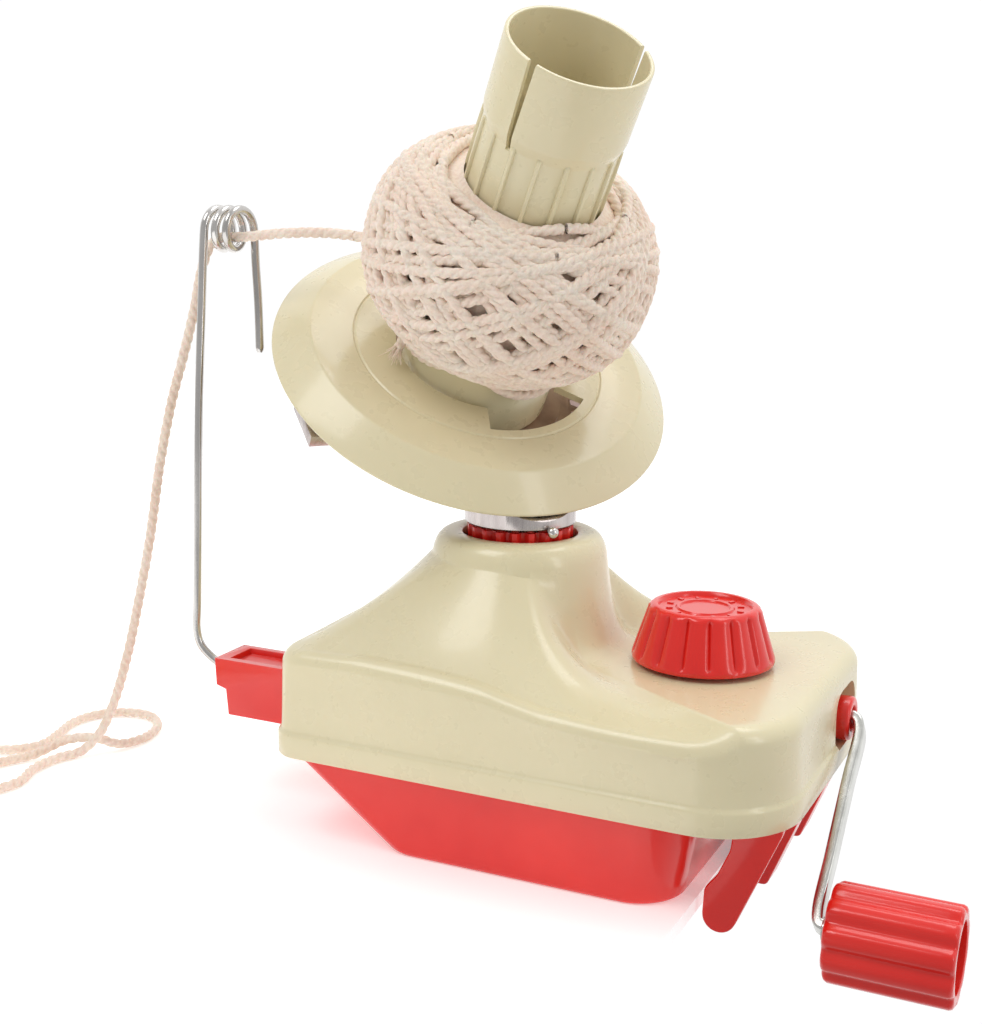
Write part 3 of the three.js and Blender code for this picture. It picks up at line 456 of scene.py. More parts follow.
def swept(path, section, turns=None, scale=None, closed=False):
    """A section carried along a path. turns is its angle at each point, scale its size there."""
    a, b = carried_frames(path, closed)
    count = len(path)
    turns = np.zeros(count) if turns is None else turns
    scale = np.ones(count) if scale is None else scale
    if closed:
        drift = math.atan2(a[-1].dot(b[0]), a[-1].dot(a[0]))
        turns = turns + drift * np.linspace(0, 1, count)
    section = np.asarray(section, float)
    cos, sin = np.cos(turns)[:, None], np.sin(turns)[:, None]
    x = (section[:, 0] * cos - section[:, 1] * sin) * scale[:, None]
    y = (section[:, 0] * sin + section[:, 1] * cos) * scale[:, None]
    points = path[:, None, :] + x[:, :, None] * a[:, None, :] + y[:, :, None] * b[:, None, :]
    return points.reshape(-1, 3), bands(count, len(section), closed)


def round_section(radius, sides):
    angles = np.linspace(0, 2 * math.pi, sides, endpoint=False)
    return np.column_stack([radius * np.cos(angles), radius * np.sin(angles)])


# ---------- twisted yarn ----------
YARN_R = 1.62
PLY_PITCH = 9.5


def ply_section(radius, sides=12):
    angles = np.linspace(0, 2 * math.pi, sides, endpoint=False)
    r = radius * (0.70 + 0.30 * np.abs(np.cos(1.5 * angles)) ** 0.6)
    return np.column_stack([r * np.cos(angles), r * np.sin(angles)])


def strand(path, radius=YARN_R, step=0.95, closed=False, phase=0.0):
    """Three plies twisted round each other along a path."""
    points, at = even(path, step, closed)
    total = at[-1] + (step if closed else 0)
    turns = 2 * math.pi * at / PLY_PITCH
    if closed:
        turns = 2 * math.pi / 3 * round(3 * total / PLY_PITCH) * at / total
    return swept(points, ply_section(radius), -turns + phase, closed=closed)


def frayed(tip, ahead, rng, count=26, length=6.0, width=0.16, opening=0.42):
    """Loose fibres that spread from a cut end."""
    parts = []
    ahead = np.asarray(ahead, float) / np.linalg.norm(ahead)
    side = np.cross(ahead, UP)
    side /= np.linalg.norm(side)
    other = np.cross(ahead, side)
    for _ in range(count):
        angle, out = rng.uniform(0, 2 * math.pi), rng.uniform(0.1, 1) * opening
        across = side * math.cos(angle) + other * math.sin(angle)
        start = tip + across * YARN_R * 0.7 * out / opening - ahead * 1.5
        reach = length * rng.uniform(0.6, 1.1)
        bend = rng.normal(0, 0.12, 3)
        line = [start + ahead * reach * t + across * reach * out * t * t + bend * reach * t * t
                for t in np.linspace(0, 1, 6)]
        parts.append(swept(np.array(line), round_section(width, 4), scale=np.linspace(1, 0.5, 6)))
    return parts


# ---------- camera, light and table ----------
SENSOR_MM, LENS_MM = 36, 54.98
CAMERA_AT = (0.1618, -0.41443, 0.18763)
CAMERA_AHEAD = (-0.413, 0.8869, -0.207)
CAMERA_RIGHT = (0.905, 0.4251, 0.0156)


def add_camera():
    data = bpy.data.cameras.new("camera")
    data.sensor_width = SENSOR_MM
    data.lens = LENS_MM
    data.clip_start, data.clip_end = 0.01, 20
    camera = bpy.data.objects.new("camera", data)
    bpy.context.scene.collection.objects.link(camera)
    ahead = Vector(CAMERA_AHEAD).normalized()
    right = Vector(CAMERA_RIGHT)
    right = (right - ahead * right.dot(ahead)).normalized()
    camera.matrix_world = Matrix.Translation(CAMERA_AT) @ Matrix(
        (right, right.cross(ahead), -ahead)).transposed().to_4x4()
    bpy.context.scene.camera = camera
    bpy.context.scene.view_settings.view_transform = "Standard"


def add_area(name, place, aim, size, power, color=(1, 1, 1)):
    data = bpy.data.lights.new(name, "AREA")
    data.shape = "RECTANGLE"
    data.size, data.size_y = size
    data.energy = power
    data.color = color
    light = bpy.data.objects.new(name, data)
    bpy.context.scene.collection.objects.link(light)
    light.location = place
    light.rotation_mode = "QUATERNION"
    light.rotation_quaternion = (Vector(aim) - Vector(place)).to_track_quat("-Z", "Y")


def add_world():
    """White all round: brightest behind and above the object, dimmer from the camera's side."""
    world = bpy.data.worlds.new("studio")
    bpy.context.scene.world = world
    world.use_nodes = True
    tree = world.node_tree
    background = tree.nodes["Background"]
    place = tree.nodes.new("ShaderNodeTexCoord")
    split = tree.nodes.new("ShaderNodeSeparateXYZ")
    tree.links.new(place.outputs["Generated"], split.inputs["Vector"])
    strength = tree.nodes.new("ShaderNodeMapRange")
    strength.inputs["From Min"].default_value = -0.6
    strength.inputs["From Max"].default_value = 0.35
    strength.inputs["To Min"].default_value = 0.5
    strength.inputs["To Max"].default_value = 1.02
    tree.links.new(split.outputs["Y"], strength.inputs["Value"])
    tree.links.new(strength.outputs["Result"], background.inputs["Strength"])
    background.inputs["Color"].default_value = (1, 1, 1, 1)


def add_table():
    edge_x, thick = 48.6, 4.2
    corners = ((-900, -700), (edge_x, -700), (edge_x, 900), (-900, 900))
    points = [(x, y, z) for z in (-thick, -0.02) for x, y in corners]
    table = finished(plain_object("table", points, BOX_FACES), table_top(), None)


def add_lights():
    add_area("key", (-0.35, -0.55, 0.95), (0, 0, 0.1), (0.5, 0.5), 3.4)
    add_area("top", (0.15, 0.25, 0.9), (0, 0, 0.08), (0.5, 0.35), 1.6)
    add_area("side", (0.9, -0.25, 0.45), (0.05, 0, 0.06), (0.15, 0.6), 1.0)


# ---------- yarn that hangs and lies free ----------
TAIL = [
    (-116, -8, 169.6), (-120, -8, 169.5), (-124.5, -8, 166.8), (-128, -8, 159), (-131, -8, 147),
    (-135, -9, 132), (-139, -10, 118), (-143, -12, 97), (-146, -14, 74), (-149, -17, 53),
    (-152.5, -20, 33), (-156.5, -23, 17), (-160.5, -26, 7), (-164.5, -30, 2.2), (-168, -37, 1.7),
    (-168.5, -48, 1.7), (-165, -59, 1.7), (-168.5, -69, 1.7), (-178, -70, 1.7), (-183.5, -62, 1.7),
    (-182, -50, 1.7), (-176, -39, 2.2), (-170, -31, 5.4), (-163, -26, 6), (-157.5, -19, 2.4),
    (-155, -8, 1.7), (-158.5, 3, 1.7), (-167, 9.5, 1.7), (-177, 8.5, 1.7), (-184, 2, 1.7),
    (-186, -8, 1.7), (-183, -19, 1.7), (-181, -30, 1.7), (-186, -38, 1.7), (-195, -42, 1.7),
    (-203, -48, 1.7), (-206.8, -56.5, 1.7),
]
LEAD = [
    (-115.6, -8, 169.6), (-112, -8, 169.8), (-106, -8, 170.4), (-101, -8.1, 171), (-96, -8.2, 171.4),
    (-90, -8.2, 171.7), (-84, -8.2, 171.8), (-78, -8, 171.6), (-73.4, -7.6, 171.2),
]
LEAD_TUCK = [(-69.4, -7.1, 170.5), (-64.5, -6.3, 169.2)]    # goes in under the ball's outer wraps


def coil_route():
    """Turns that lie beside and on each other, three across and three high."""
    low, high = box_mm("yarn_coil")
    x, y = (low[:2] + high[:2]) / 2
    columns, levels, per_turn = [20.0, 16.8, 13.6], [1.75, 4.85, 7.95], 24
    lanes = [(r, z) for k, z in enumerate(levels) for r in (columns if k % 2 == 0 else columns[::-1])]
    points = []
    for lane, (r, z) in enumerate(lanes):
        r_next, z_next = lanes[min(lane + 1, len(lanes) - 1)]
        for k in range(per_turn):
            share = min(max((k / per_turn - 0.6) / 0.4, 0), 1)
            share = share * share * (3 - 2 * share)
            angle = math.radians(122 + 360 * k / per_turn)
            radius = r + (r_next - r) * share
            place = (x + radius * math.cos(angle), y + radius * math.sin(angle), z + (z_next - z) * share)
            points.append(place)
    return points


def add_tail():
    rng = np.random.default_rng(3)
    path = spline(TAIL + coil_route(), 1.0)
    points, _ = even(path, 0.95)
    ends = frayed(points[-1], points[-1] - points[-4], rng, count=18, length=5)
    tail = piece("yarn_tail_strand", [strand(path)] + ends, COTTON, None, sharp=80)
    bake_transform(tail)
    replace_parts(tail, "yarn_tail", "yarn_coil")


def add_lead():
    path = spline(LEAD, 1.0)
    lead = piece("yarn_lead_strand", [strand(path)], COTTON, None, sharp=80)
    piece("yarn_tuck_strand", [strand(spline([LEAD[-1]] + LEAD_TUCK, 1.0))], COTTON, "cone", sharp=80)
    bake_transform(lead)
    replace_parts(lead, "yarn_lead_outer", "yarn_lead_inner")


# ---------- ball ----------
BALL = {"at": 17, "core_r": 38.2, "core_half": 25.8, "power": 2.5}
SKIN = {"core_r": 41.2, "core_half": 28.0}
CONE_R, NECK_R = 21.0, 25.0
STEEP_WRAPS, WRAPS = 18, 62


def core_reach(latitude, size=BALL):
    p = BALL["power"]
    across = (np.cos(latitude) / size["core_r"]) ** p
    along = (np.abs(np.sin(latitude)) / size["core_half"]) ** p
    return (across + along) ** (-1 / p)


def wound_paths():
    """Wraps laid one on another: each lies as far out as the yarn beneath it makes it."""
    rng = np.random.default_rng(11)
    latitudes = np.radians(np.arange(-60, 61))
    surface = np.repeat(core_reach(latitudes)[:, None], 360, axis=1)
    around = np.linspace(0, 2 * math.pi, 300, endpoint=False)
    step_angle = 2 * math.pi * 10 / 38
    paths = []
    for k in range(WRAPS):
        steep = k < STEEP_WRAPS
        tilt = math.radians(46 - 8 * k / STEEP_WRAPS if steep else rng.normal(35, 2.2))
        azimuth = k * step_angle + rng.normal(0, 0.10)
        lift = math.radians(rng.normal(0, 2.5))
        wave = math.radians(rng.uniform(0.2, 1.2))
        t = np.array([math.cos(azimuth), math.sin(azimuth), 0])
        s = np.array([-math.sin(azimuth), math.cos(azimuth), 0])
        uphill = math.cos(tilt) * t + math.sin(tilt) * UP
        ways = np.cos(around)[:, None] * uphill + np.sin(around)[:, None] * s
        latitude = np.arcsin(ways[:, 2]) + lift + wave * np.sin(3 * around + rng.uniform(0, 6.28))
        longitude = np.arctan2(ways[:, 1], ways[:, 0])
        row = np.clip(np.round(np.degrees(latitude)).astype(int) + 60, 3, 117)
        column = np.round(np.degrees(longitude)).astype(int) % 360
        under = np.max([surface[row + a, (column + b) % 360] for a in (-1, 0, 1) for b in (-1, 0, 1)], axis=0)
        under = np.max([np.roll(under, a) for a in range(-2, 3)], axis=0)
        window = np.hanning(29)
        padded = np.concatenate([under[-14:], under, under[:14]])
        reach = np.convolve(padded, window / window.sum(), "valid") + YARN_R * 0.5
        reach = np.minimum(reach, core_reach(latitude, SKIN) + YARN_R * 1.7 * (k / WRAPS - 0.55))
        z = reach * np.sin(latitude)
        inner = np.where(z < -20, NECK_R, CONE_R) + YARN_R * 0.9
        reach = np.maximum(reach, inner / np.cos(latitude))
        for a in range(-4, 5):
            for b in range(-4, 5):
                off = np.radians(1) * reach * np.hypot(a, b * np.cos(latitude))
                crown = np.sqrt(np.maximum(YARN_R ** 2 - off ** 2, 0)) * 0.9
                height = np.where(off < YARN_R, reach + crown, 0)
                rows = np.clip(row + a, 0, 120)
                np.maximum.at(surface, (rows, (column + b) % 360), height)
        flat = reach * np.cos(latitude)
        path = [flat * np.cos(longitude), flat * np.sin(longitude), reach * np.sin(latitude)]
        paths.append(np.column_stack(path))
    return paths


def ball_core():
    corners = [(CONE_R - 0.6, 24.5), (CONE_R - 0.6, -20), (NECK_R - 0.5, -24), (NECK_R - 0.5, -27)]
    latitudes = np.radians(np.linspace(-43, 47, 40))
    reach = core_reach(latitudes)
    outer = [(max(d * math.cos(a), 20.8), d * math.sin(a)) for a, d in zip(latitudes, reach)]
    return turned(corners + outer, 0.01, 96, 1)


def add_ball():
    def place(points):
        return tilted(np.asarray(points) - [0, 0, BALL["at"]])
    parts = []
    for k, path in enumerate(wound_paths()):
        parts.append(moved(strand(path, closed=True, step=1.05, phase=k), place))
    parts.append(moved(ball_core(), place))
    piece("yarn_ball_wraps", parts, COTTON, "cone", ["yarn_ball"], sharp=80)


def add_yarn_end():
    rng = np.random.default_rng(5)
    path = spline(tilted([(0.6, -26.5, -43.2), (2.2, -27.8, -46.2), (3.0, -28.9, -48.4)]), 0.8)
    fibres = frayed(path[-1], path[-1] - path[-3], rng, count=44, length=5.2, opening=0.5)
    piece("yarn_end_strand", [strand(path)] + fibres, COTTON, "cone", ["yarn_end"], sharp=80)


# ---------- cover ----------
BODY = {"deck": 54, "step": 32.5, "bottom": 25.5, "edge": 5, "left": 9, "right": 25, "wall": 2.2}
TURRET = {"r": 26, "top": 86.7, "hole": 17, "rise": 26}
CREASE = math.radians(31)
EDGE_REACH = 6.2       # how far in from the wall the rounded edge of the cover begins
FILLET = 2.9           # how fast the turret's foot dies away on the deck
RIM = [(31, 60, 76, 96, 117), (47.6, 48, 51.8, 53.6, 55.4)]
HALF_Y = (box_mm("top_cover")[1][1] - box_mm("top_cover")[0][1]) / 2


def rounded_rect(x0, x1, y, left, right, corner=40):
    """Counts of points are fixed, so outlines of different sizes can be joined point to point."""
    corners = [(x1 - right, -(y - right), right, -90), (x1 - right, y - right, right, 0),
               (x0 + left, y - left, left, 90), (x0 + left, -(y - left), left, 180)]
    arcs = []
    for cx, cy, r, start in corners:
        angles = np.radians(start + np.linspace(0, 90, corner + 1))
        arcs.append(np.column_stack([cx + r * np.cos(angles), cy + r * np.sin(angles)]))
    points = []
    for k, arc in enumerate(arcs):
        following = arcs[(k + 1) % 4][0]
        line = arc[-1] + (following - arc[-1]) * np.linspace(0, 1, 56)[1:-1, None]
        points.extend([arc, line])
    return np.vstack(points)


def body_outline(inset):
    x = (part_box("top_cover")[1].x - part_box("top_cover")[0].x) / MM / 2
    y = (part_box("top_cover")[1].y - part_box("top_cover")[0].y) / MM / 2
    left, right = max(BODY["left"] - inset, 1), max(BODY["right"] - inset, 1)
    return rounded_rect(-x + inset, x - inset, y - inset, left, right)


def smooth(value, low, high):
    share = np.clip((value - low) / (high - low), 0, 1)
    return share * share * (3 - 2 * share)


def cover_height(r, angle, reach):
    """The flat deck within the crease. Beyond it a slope leans out to the wall and flares to the turret."""
    turn = np.abs(angle)
    out = np.clip((r - TURRET["r"]) / (reach - TURRET["r"]), 0, 1)
    beyond = np.clip(turn - CREASE, 0, math.pi / 2)
    wall_at = np.maximum((HALF_Y - r * np.cos(beyond) * math.sin(CREASE)) / math.cos(CREASE), 4)
    slope = np.clip(r * np.sin(beyond) / wall_at, 0, 1)
    late = smooth(turn, math.radians(60), math.radians(90))
    lean = slope + (out - slope) * late
    rim = np.interp(np.degrees(turn), *RIM)
    flare = smooth(turn, CREASE, math.radians(62))
    foot = np.exp(-np.maximum(r - TURRET["r"], 0) / FILLET)
    rise = flare * (1 - out) ** 1.3 + (1 - flare) * foot
    return BODY["deck"] + (rim - BODY["deck"]) * lean + TURRET["rise"] * rise


def cover_shell():
    centre = np.array([TURRET_X, 0])
    wall = body_outline(0)
    away = wall - centre
    reach = np.linalg.norm(away, axis=1)
    unit = away / reach[:, None]
    angle = np.arctan2(away[:, 1], away[:, 0])
    for crease in (-CREASE, CREASE):
        nearest = np.argmin(np.abs(angle - crease))
        angle[nearest] = crease
        unit[nearest] = (math.cos(crease), math.sin(crease))

    def at(r, z):
        return lifted(centre + unit * np.broadcast_to(r, len(unit))[:, None], z)

    bottom, step = BODY["bottom"], BODY["step"]
    crest = cover_height(reach - EDGE_REACH, angle, reach)
    wall_top = crest - BODY["edge"]
    foot = ((1.0, bottom), (0.3, bottom + 0.15), (0, bottom + 0.6), (0, bottom + 3), (0, step - 0.6),
            (0.25, step + 0.1), (0.8, step + 0.55), (1.0, step + 1.2))
    rings = [lifted(body_outline(inset), z) for inset, z in foot]
    lip = step + 1.2
    rings += [lifted(body_outline(1.0 + 0.4 * t), lip + (wall_top - step - 1.2) * t) for t in (0.3, 0.6, 1)]
    for q in np.linspace(0.12, 1, 9) * math.pi / 2:
        inset = 1.4 + 4.8 * (1 - math.cos(q))
        rings.append(at(reach - inset, wall_top + (crest - wall_top) * math.sin(q)))
    for share in np.linspace(0.98, 0.02, 40):
        r = TURRET["r"] + share ** 1.35 * (reach - EDGE_REACH - TURRET["r"])
        rings.append(at(r, cover_height(r, angle, reach)))
    top = [(25.9, 80.6), (25.6, 82), (25.1, 83.4), (24.4, 84.7), (23.5, 85.7), (22.4, 86.3), (21, 86.65),
           (19, 86.7)]
    top += [(17.8, 86.6), (17.2, 86.2), (TURRET["hole"], 85.5), (TURRET["hole"], 84)]
    rings += [at(np.full(len(unit), r), z) for r, z in top]
    rings += [at(np.full(len(unit), r), z) for r, z in ((21.5, TURRET["top"] - 3), (23.8, 78))]
    for share in (0.1, 0.4, 0.93):
        r = TURRET["r"] - 1 + share * (reach - 5.5 - TURRET["r"])
        rings.append(at(r, cover_height(r + 2, angle, reach) - 2.4))
    rings += [at(reach - 4.6, crest - BODY["edge"] - 3), lifted(body_outline(BODY["wall"] + 0.8), step + 0.6),
              lifted(body_outline(BODY["wall"]), step - 0.4), lifted(body_outline(BODY["wall"]), bottom)]
    return stacked(rings, closed=True)


def pocket(grow, x0, x1):
    half, top, low, corner = 12 + grow, 47 + grow, 31.2 - grow, 9
    corners = [(-half, low, 1.5), (half, low, 1.5), (half, top, corner), (-half, top, corner)]
    side = soften(corners, 1, 10)
    points, faces = prism(side, x0, x1)
    return np.column_stack([points[:, 2], points[:, 0] + CRANK_Y + 1, points[:, 1]]), faces


def rod(radius, z0, z1, segments=48):
    return solid_turned([(0, z0), (radius, z0), (radius, z1), (0, z1)], 0.01, segments, 1)


def slab(x0, x1, y0, y1, z0, z1):
    points = [(x, y, z) for z in (z0, z1) for x, y in ((x0, y0), (x1, y0), (x1, y1), (x0, y1))]
    return points, BOX_FACES


def add_cover():
    cover = plain_object("cover_shell", *cover_shell())
    combine(cover, pocket(1.6, 64.6, 73.4), "UNION")
    combine(cover, pocket(0, 66.2, 82), "DIFFERENCE")
    combine(cover, moved(rod(7, 60, 70), along_x, CRANK_Y, CRANK_Z), "DIFFERENCE")
    combine(cover, moved(rod(4.4, 44, 62), on_knob), "DIFFERENCE")
    finished(cover, CREAM, "body", ["top_cover"], sharp=34)


# ---------- disc, cone and knob ----------
def add_disc():
    top, thick = -53.5, 2.2
    shell = turned([
        (26, top, 0.3), (38.4, top, 0.2), (38.9, top - 0.5, 0.25), (39.4, top, 0.2), (52.5, top, 0.6),
        (62.8, -61.4, 0.8), (62.2, -62.3, 0.4), (60.9, -62.3, 0.3), (52.2, top - thick, 0.8),
        (26, top - thick, 0.3),
    ], 0.3, 200)
    disc = plain_object("disc_shell", *moved(shell, tilted))
    arc = np.radians(np.linspace(-15, 48, 40))
    way = np.column_stack([np.cos(arc), np.sin(arc)])
    slot = np.vstack([35.5 * way, 22 * way[::-1]])
    combine(disc, moved(prism(slot, -60, -50), tilted), "DIFFERENCE")
    for side in (-47.5, 47.5):
        boss = moved(rod(4, -60, top - 1), lambda p, side=side: tilted(np.asarray(p) + [0, side, 0]))
        combine(disc, boss, "UNION")
    finished(disc, CREAM, "rotor", ["disc_plate"])


def add_cone():
    body, neck, rim = 19.6, 24.5, 20.65
    shell = turned([
        (neck - 1.6, -66, 0.5), (neck, -66, 0.5), (neck, -40, 3), (body, -18, 3), (body, 26, 0.5),
        (rim - 0.1, 29.5, 0.8), (rim, 51.5, 0.7), (rim - 1.3, 51.5, 0.6), (rim - 1.6, 28, 0.8),
        (body - 1.6, 25, 0.8), (body - 1.6, -20, 1.5), (neck - 1.6, -41, 3),
    ], 0.4, 160)
    cone = plain_object("cone_shell", *moved(shell, tilted))
    bearing = [(3.6, -25.2), (body - 1, -25.2), (body - 1, -22), (8.4, -22), (8.4, -17.6), (3.6, -17.6)]
    combine(cone, moved(turned(bearing, 0.3), tilted), "UNION")
    for turn in (-62, 92):
        angle = math.radians(turn)
        wedge = np.array([(-1.5, 60), (1.5, 60), (0.7, 25), (-0.7, 25)])
        points = [(r, w, z) for r in (8, 30) for w, z in wedge]
        combine(cone, (tilted(spun(points, angle)), BOX_FACES), "DIFFERENCE")
    for k in range(16):
        angle = 2 * math.pi * (k + 0.5) / 16
        combine(cone, rib_part(angle, body), "UNION")
    finished(cone, CREAM, "cone", ["winding_cone"])


def rib_part(angle, body):
    """One low rounded rib down the cone's side, tapering away at both ends."""
    rings = []
    rises = ((27.3, 0.1), (26.4, 0.75), (20, 0.95), (0, 0.95), (-10, 0.9), (-13.2, 0.7), (-14, 0.1))
    for z, rise in rises:
        side = rise * 0.55
        out = [(-0.75, -0.8), (0.75, -0.8), (0.7, side), (0.42, rise), (-0.42, rise), (-0.7, side)]
        rings.append(spun([(body + h, w, z) for w, h in out], angle))
    return moved(stacked(rings), tilted)


def fluted_outline(r, depth, flutes=16, per=10):
    angles = np.linspace(0, 2 * math.pi, flutes * per, endpoint=False)
    groove = np.abs(np.sin(flutes * angles / 2)) ** 0.45
    radius = r - depth * (1 - groove)
    return np.column_stack([radius * np.cos(angles), radius * np.sin(angles)])


def add_knob():
    z0, z1, r0, r1 = 55.3, 71.4, 20.4, 16.1
    rings = []
    levels = [(z0, r0 - 0.8, 0), (z0 + 0.2, r0 - 0.2, 0), (z0 + 0.9, r0, 0.1), (z0 + 1.6, r0 - 0.1, 0.5),
              (z0 + 2.4, r0 - 0.3, 1.3)]
    for t in np.linspace(0.1, 1, 8):
        levels.append((z0 + 2.4 + (z1 - 4.2 - z0) * t, r0 - 0.3 + (r1 + 0.5 - r0) * t, 1.4))
    levels += [(z1 - 1.2, r1 + 0.05, 0.9), (z1 - 0.7, r1 - 0.4, 0.3), (z1 - 0.3, r1 - 0.9, 0),
               (z1, r1 - 1.6, 0), (z1, r1 - 2.6, 0), (z1 - 0.4, r1 - 3.0, 0), (z1 - 1.1, r1 - 3.3, 0),
               (z1 - 1.2, r1 - 4, 0)]
    for z, r, depth in levels:
        rings.append(lifted(fluted_outline(r, depth), z))
    for z, r in ((z1 - 1.2, 8.4), (z1 - 0.75, 8.0), (z1 - 0.75, 7.2), (z1 - 1.2, 6.8), (z1 - 1.2, 0.01)):
        rings.append(lifted(fluted_outline(r, 0), z))
    inside = [(z0 + 3, 0.01), (z0 + 3, 11.5), (z0, 12)]
    rings = [lifted(fluted_outline(r, 0), z) for z, r in inside] + rings
    marks = []
    for k in range(12):
        a = 2 * math.pi * k / 12
        dash = slab(9.4, 11.2, -0.45, 0.45, z1 - 1.5, z1 - 0.85)
        marks.append((on_knob(spun(dash[0], a)), dash[1]))
    piece("knob_fluted", [moved(stacked(rings), on_knob)] + marks, RED, "knob", ["clamp_knob"], sharp=40)


# ---------- base ----------
def hull_outline(z, inset):
    t = min(max(z / 25.8, 0), 1)
    x0, x1, y = -40 - 31 * t + inset, 45 + 5 * t - inset, 49.5 + 3.5 * t - inset
    return rounded_rect(x0, x1, y, 8 - inset * 0.5, 14 - inset * 0.5)


def finger_plate(outline, y0, y1):
    points, faces = prism(soften(outline, 1.2, 4), y0, y1, 0.5)
    return np.column_stack([points[:, 0], points[:, 2], points[:, 1]]), faces


def add_base():
    levels = [(0, 1.4), (0.25, 0.6), (0.9, 0.1), (1.5, 0)] + [(z, 0) for z in np.linspace(3, 26.5, 12)]
    outer = [lifted(hull_outline(z, inset), z) for z, inset in levels]
    inner = [lifted(hull_outline(z, BODY["wall"]), z) for z in (26.5, 2.5)]
    base = plain_object("base_hull", *stacked(outer + inner))
    combine(base, prism(body_outline(2.5), 25.9, 28.3), "UNION")
    low, high = box_mm("clamp_jaw")
    combine(base, slab(40, high[0] + 0.6, low[1] - 0.8, high[1] + 0.8, 6, 30), "DIFFERENCE")
    tip = [(55.2 + 4.7 * math.cos(a), -3.8 + 4.7 * math.sin(a)) for a in np.radians(-180 + 20 * np.arange(9))]
    long = [(58.6, 27), (57.4, 15.5), (54, 7.6), (50.8, 3.6)] + tip + [(71.2, 22.4), (71.2, 27)]
    short = [(58, 27), (58, 13), (60.2, 1), (64, 1), (71.4, 20), (71.4, 27)]
    for y0, y1, outline in ((-37.5, -34, long), (34, 37.5, long), (-23, -13, short), (13, 23, short)):
        combine(base, finger_plate(outline, y0, y1), "UNION")
    replaced = ["base_tray"] + [f"fence_finger_{k + 1}" for k in range(4)]
    finished(base, RED, "body", replaced, sharp=36)


# ---------- crank and grip ----------
def add_arm():
    low_x, high_x = 79.0, 70.2
    centre, end = np.array([CRANK_Y, CRANK_Z]), np.array([GRIP_Y, GRIP_Z])
    down = (end - centre) / np.linalg.norm(end - centre)
    start, finish = np.array([low_x, *centre]), np.array([low_x, *end])
    along = np.array([0, *down])
    route = [(high_x, *centre), (73.5, *centre), tuple(start - [1.6, 0, 0] + along * 0.5),
             tuple(start + along * 3.6), tuple(start + along * 20), tuple(finish - along * 20),
             tuple(finish - along * 3.8),
             tuple(finish + np.array([0.9, 0, 0]) - along * 0.7), tuple(finish + [4.2, 0, 0]),
             tuple(finish + [6.0, 0, 0])]
    path = spline(route, 0.8)
    side = np.cross([1.0, 0, 0], along)
    ahead = np.gradient(path, axis=0)
    ahead /= np.linalg.norm(ahead, axis=1)[:, None]
    out = np.cross(side, ahead)
    section = soften([(-1.5, -3.2), (1.5, -3.2), (1.5, 3.2), (-1.5, 3.2)], 0.8, 4)
    rings = [p + section[:, :1] * o + section[:, 1:] * side for p, o in zip(path, out)]
    pin = solid_turned([(0, low_x + 2), (3.4, low_x + 2), (3.4, 111), (0, 111)], 0.3, 48)
    pin = moved(pin, along_x, GRIP_Y, GRIP_Z)
    piece("crank_bar", [stacked(rings), pin], ZINC, "crank", ["crank_arm"], sharp=40)


def add_hub():
    low, high = box_mm("crank_hub")
    r = (high[1] - low[1]) / 2
    x0, x1 = low[0], high[0]
    profile = [(0, x0), (r, x0, 0.4), (r, x1, 1.6), (3.9, x1, 0.5), (3.7, x1 - 1.4, 0.2), (0, x1 - 1.4)]
    hub = solid_turned(profile, 0.4, 72, 5)
    piece("crank_hub_red", [moved(hub, along_x, CRANK_Y, CRANK_Z)], RED, "crank", ["crank_hub"])


def lobed(r, depth, lobes=10, per=16):
    angles = np.linspace(0, 2 * math.pi, lobes * per, endpoint=False)
    radius = r - depth * (0.5 - 0.5 * np.cos(lobes * angles)) ** 2
    return np.column_stack([radius * np.cos(angles), radius * np.sin(angles)])


def add_grip():
    low, high = box_mm("handle_grip")
    x0, x1, r = low[0], high[0], 13.6
    levels = [(x0, r - 3.4, 0.9), (x0 + 0.15, r - 1.2, 1.2), (x0 + 0.6, r - 0.45, 1.45), (x0 + 1.5, r, 1.6)]
    levels += [(x, r, 1.6) for x in np.linspace(x0 + 4, x1 - 4, 8)]
    levels += [(x1 - 1.3, r, 1.6), (x1 - 0.5, r - 0.35, 1.45), (x1 - 0.1, r - 1.0, 1.2), (x1, r - 1.6, 0.9)]
    rings = [lifted(lobed(a, depth), x) for x, a, depth in levels]
    hollow = [(x1, 10.2), (x1 - 0.3, 9.7), (x1 - 8.6, 9.4), (x1 - 9, 9.0), (x1 - 9, 6.4), (x1 - 4.2, 6.2),
              (x1 - 4, 5.9), (x1 - 4, 4.2), (x1 - 9, 3.9), (x0, 3.9)]
    rings += [lifted(lobed(a, 0), x) for x, a in hollow]
    points, faces = stacked(rings, closed=True)
    spokes = []
    for k in range(5):
        a = 2 * math.pi * k / 5 + 0.3
        web = slab(5.6, 9.8, -0.6, 0.6, x1 - 9.4, x1 - 3.2)
        spokes.append((along_x(spun(web[0], a), GRIP_Y, GRIP_Z), web[1]))
    parts = [(along_x(points, GRIP_Y, GRIP_Z), faces)] + spokes
    piece("grip_lobed", parts, RED, "grip", ["handle_grip"], sharp=40)


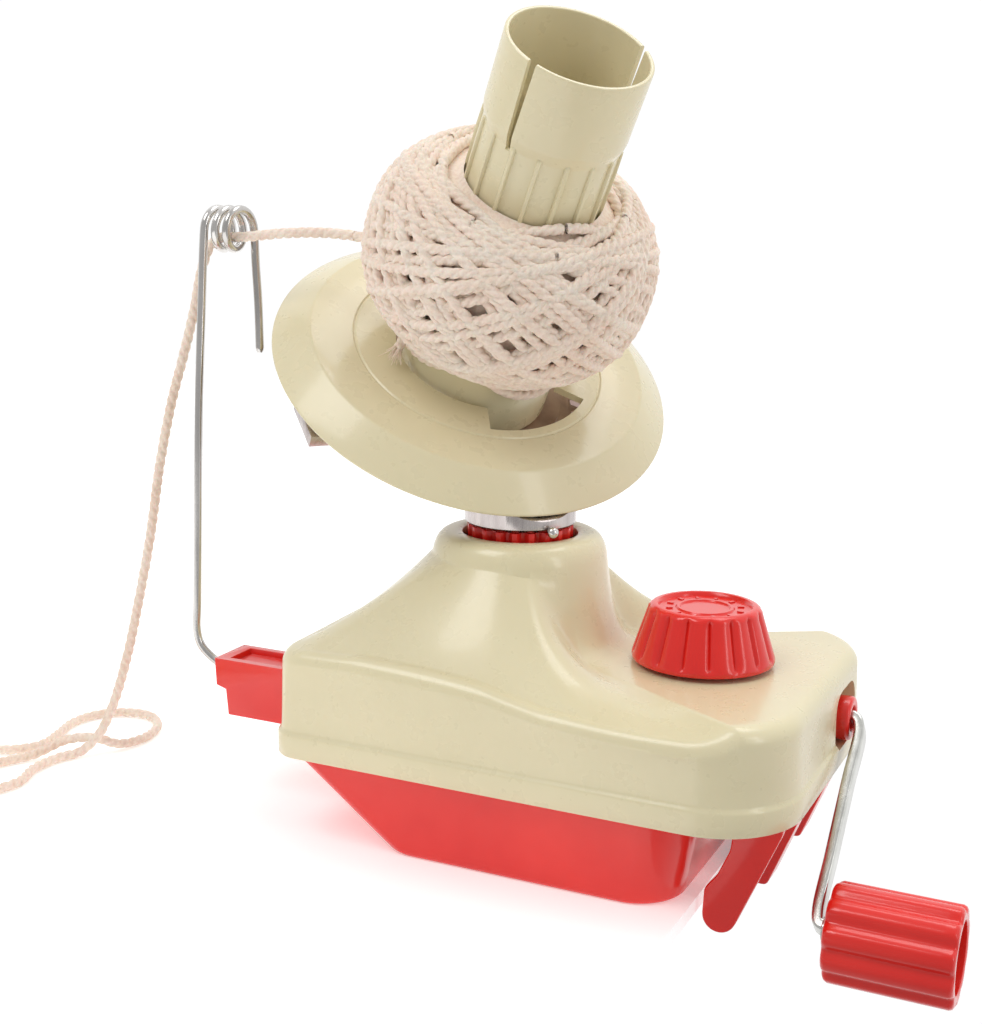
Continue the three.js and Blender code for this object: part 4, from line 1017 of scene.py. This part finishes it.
# ---------- guide wire ----------
def guide_route():
    y, z, coil_y, coil_z, coil_r = -25, 38.5, -8, 172, 6
    points = [
        (-61, y, z), (-80, y, z), (-100, y, z), (-111, y, z), (-115.5, y, z + 2), (-119.4, y, z + 5.6),
        (-120.8, y + 0.2, z + 10), (-121, y + 1, z + 18), (-121.6, -22, 80), (-122.2, -19, 120),
        (-122.5, -16, 150),
    ]
    turns, steps = 2.5, 46
    for k in range(steps + 1):
        a = math.pi - 2 * math.pi * turns * k / steps
        points.append((-122.4 + 10 * k / steps, coil_y + coil_r * math.cos(a), coil_z + coil_r * math.sin(a)))
    points += [(-112, coil_y + coil_r, 162), (-110.2, -3.6, 150), (-107.9, -6.5, 134.5)]
    return points


def add_wire():
    path, _ = even(spline(guide_route(), 0.6), 0.8)
    scale = np.ones(len(path))
    scale[-1], scale[-2], scale[0] = 0.55, 0.9, 0.6
    wire = swept(path, round_section(1.3, 16), scale=scale)
    piece("guide_wire_rod", [wire], STEEL, "guide", ["guide_wire"], sharp=50)


# ---------- CAD pieces that only need softened edges ----------
def refined(node, edge=0.25, segments=2):
    """A CAD node's own shape with its flats merged and its edges rounded."""
    source = frame["nodes"][node]
    mesh = source.data.copy()
    made = bmesh.new()
    made.from_mesh(mesh)
    bmesh.ops.remove_doubles(made, verts=made.verts, dist=1e-6)
    bmesh.ops.dissolve_limit(made, angle_limit=math.radians(1), verts=made.verts, edges=made.edges)
    made.to_mesh(mesh)
    made.free()
    obj = bpy.data.objects.new(node + "_soft", mesh)
    bpy.context.scene.collection.objects.link(obj)
    bevel = obj.modifiers.new("edges", "BEVEL")
    bevel.width = edge * MM
    bevel.segments = segments
    bevel.limit_method = "ANGLE"
    bevel.angle_limit = math.radians(35)
    apply_modifiers(obj)
    slot = next(s["material_slot"] for s in frame["record"]["subparts"] if s["node"] == node)
    body = next(b for b, nodes in frame["record"]["behaviour"]["bodies"].items() if node in nodes)
    return finished(obj, FINISHES[slot], body, [node])


def add_refined():
    shown = {s["node"] for s in frame["record"]["subparts"]}
    replaced = {n for o in bpy.data.objects for n in o.get("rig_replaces", [])}
    for node in sorted(shown - replaced):
        refined(node, 0.5 if node in ("guide_holder", "clamp_jaw") else 0.2)


add_camera()
add_world()
add_table()
add_lights()
add_tail()
add_lead()
add_ball()
add_yarn_end()
add_cover()
add_disc()
add_cone()
add_knob()
add_base()
add_arm()
add_hub()
add_grip()
add_wire()
add_refined()
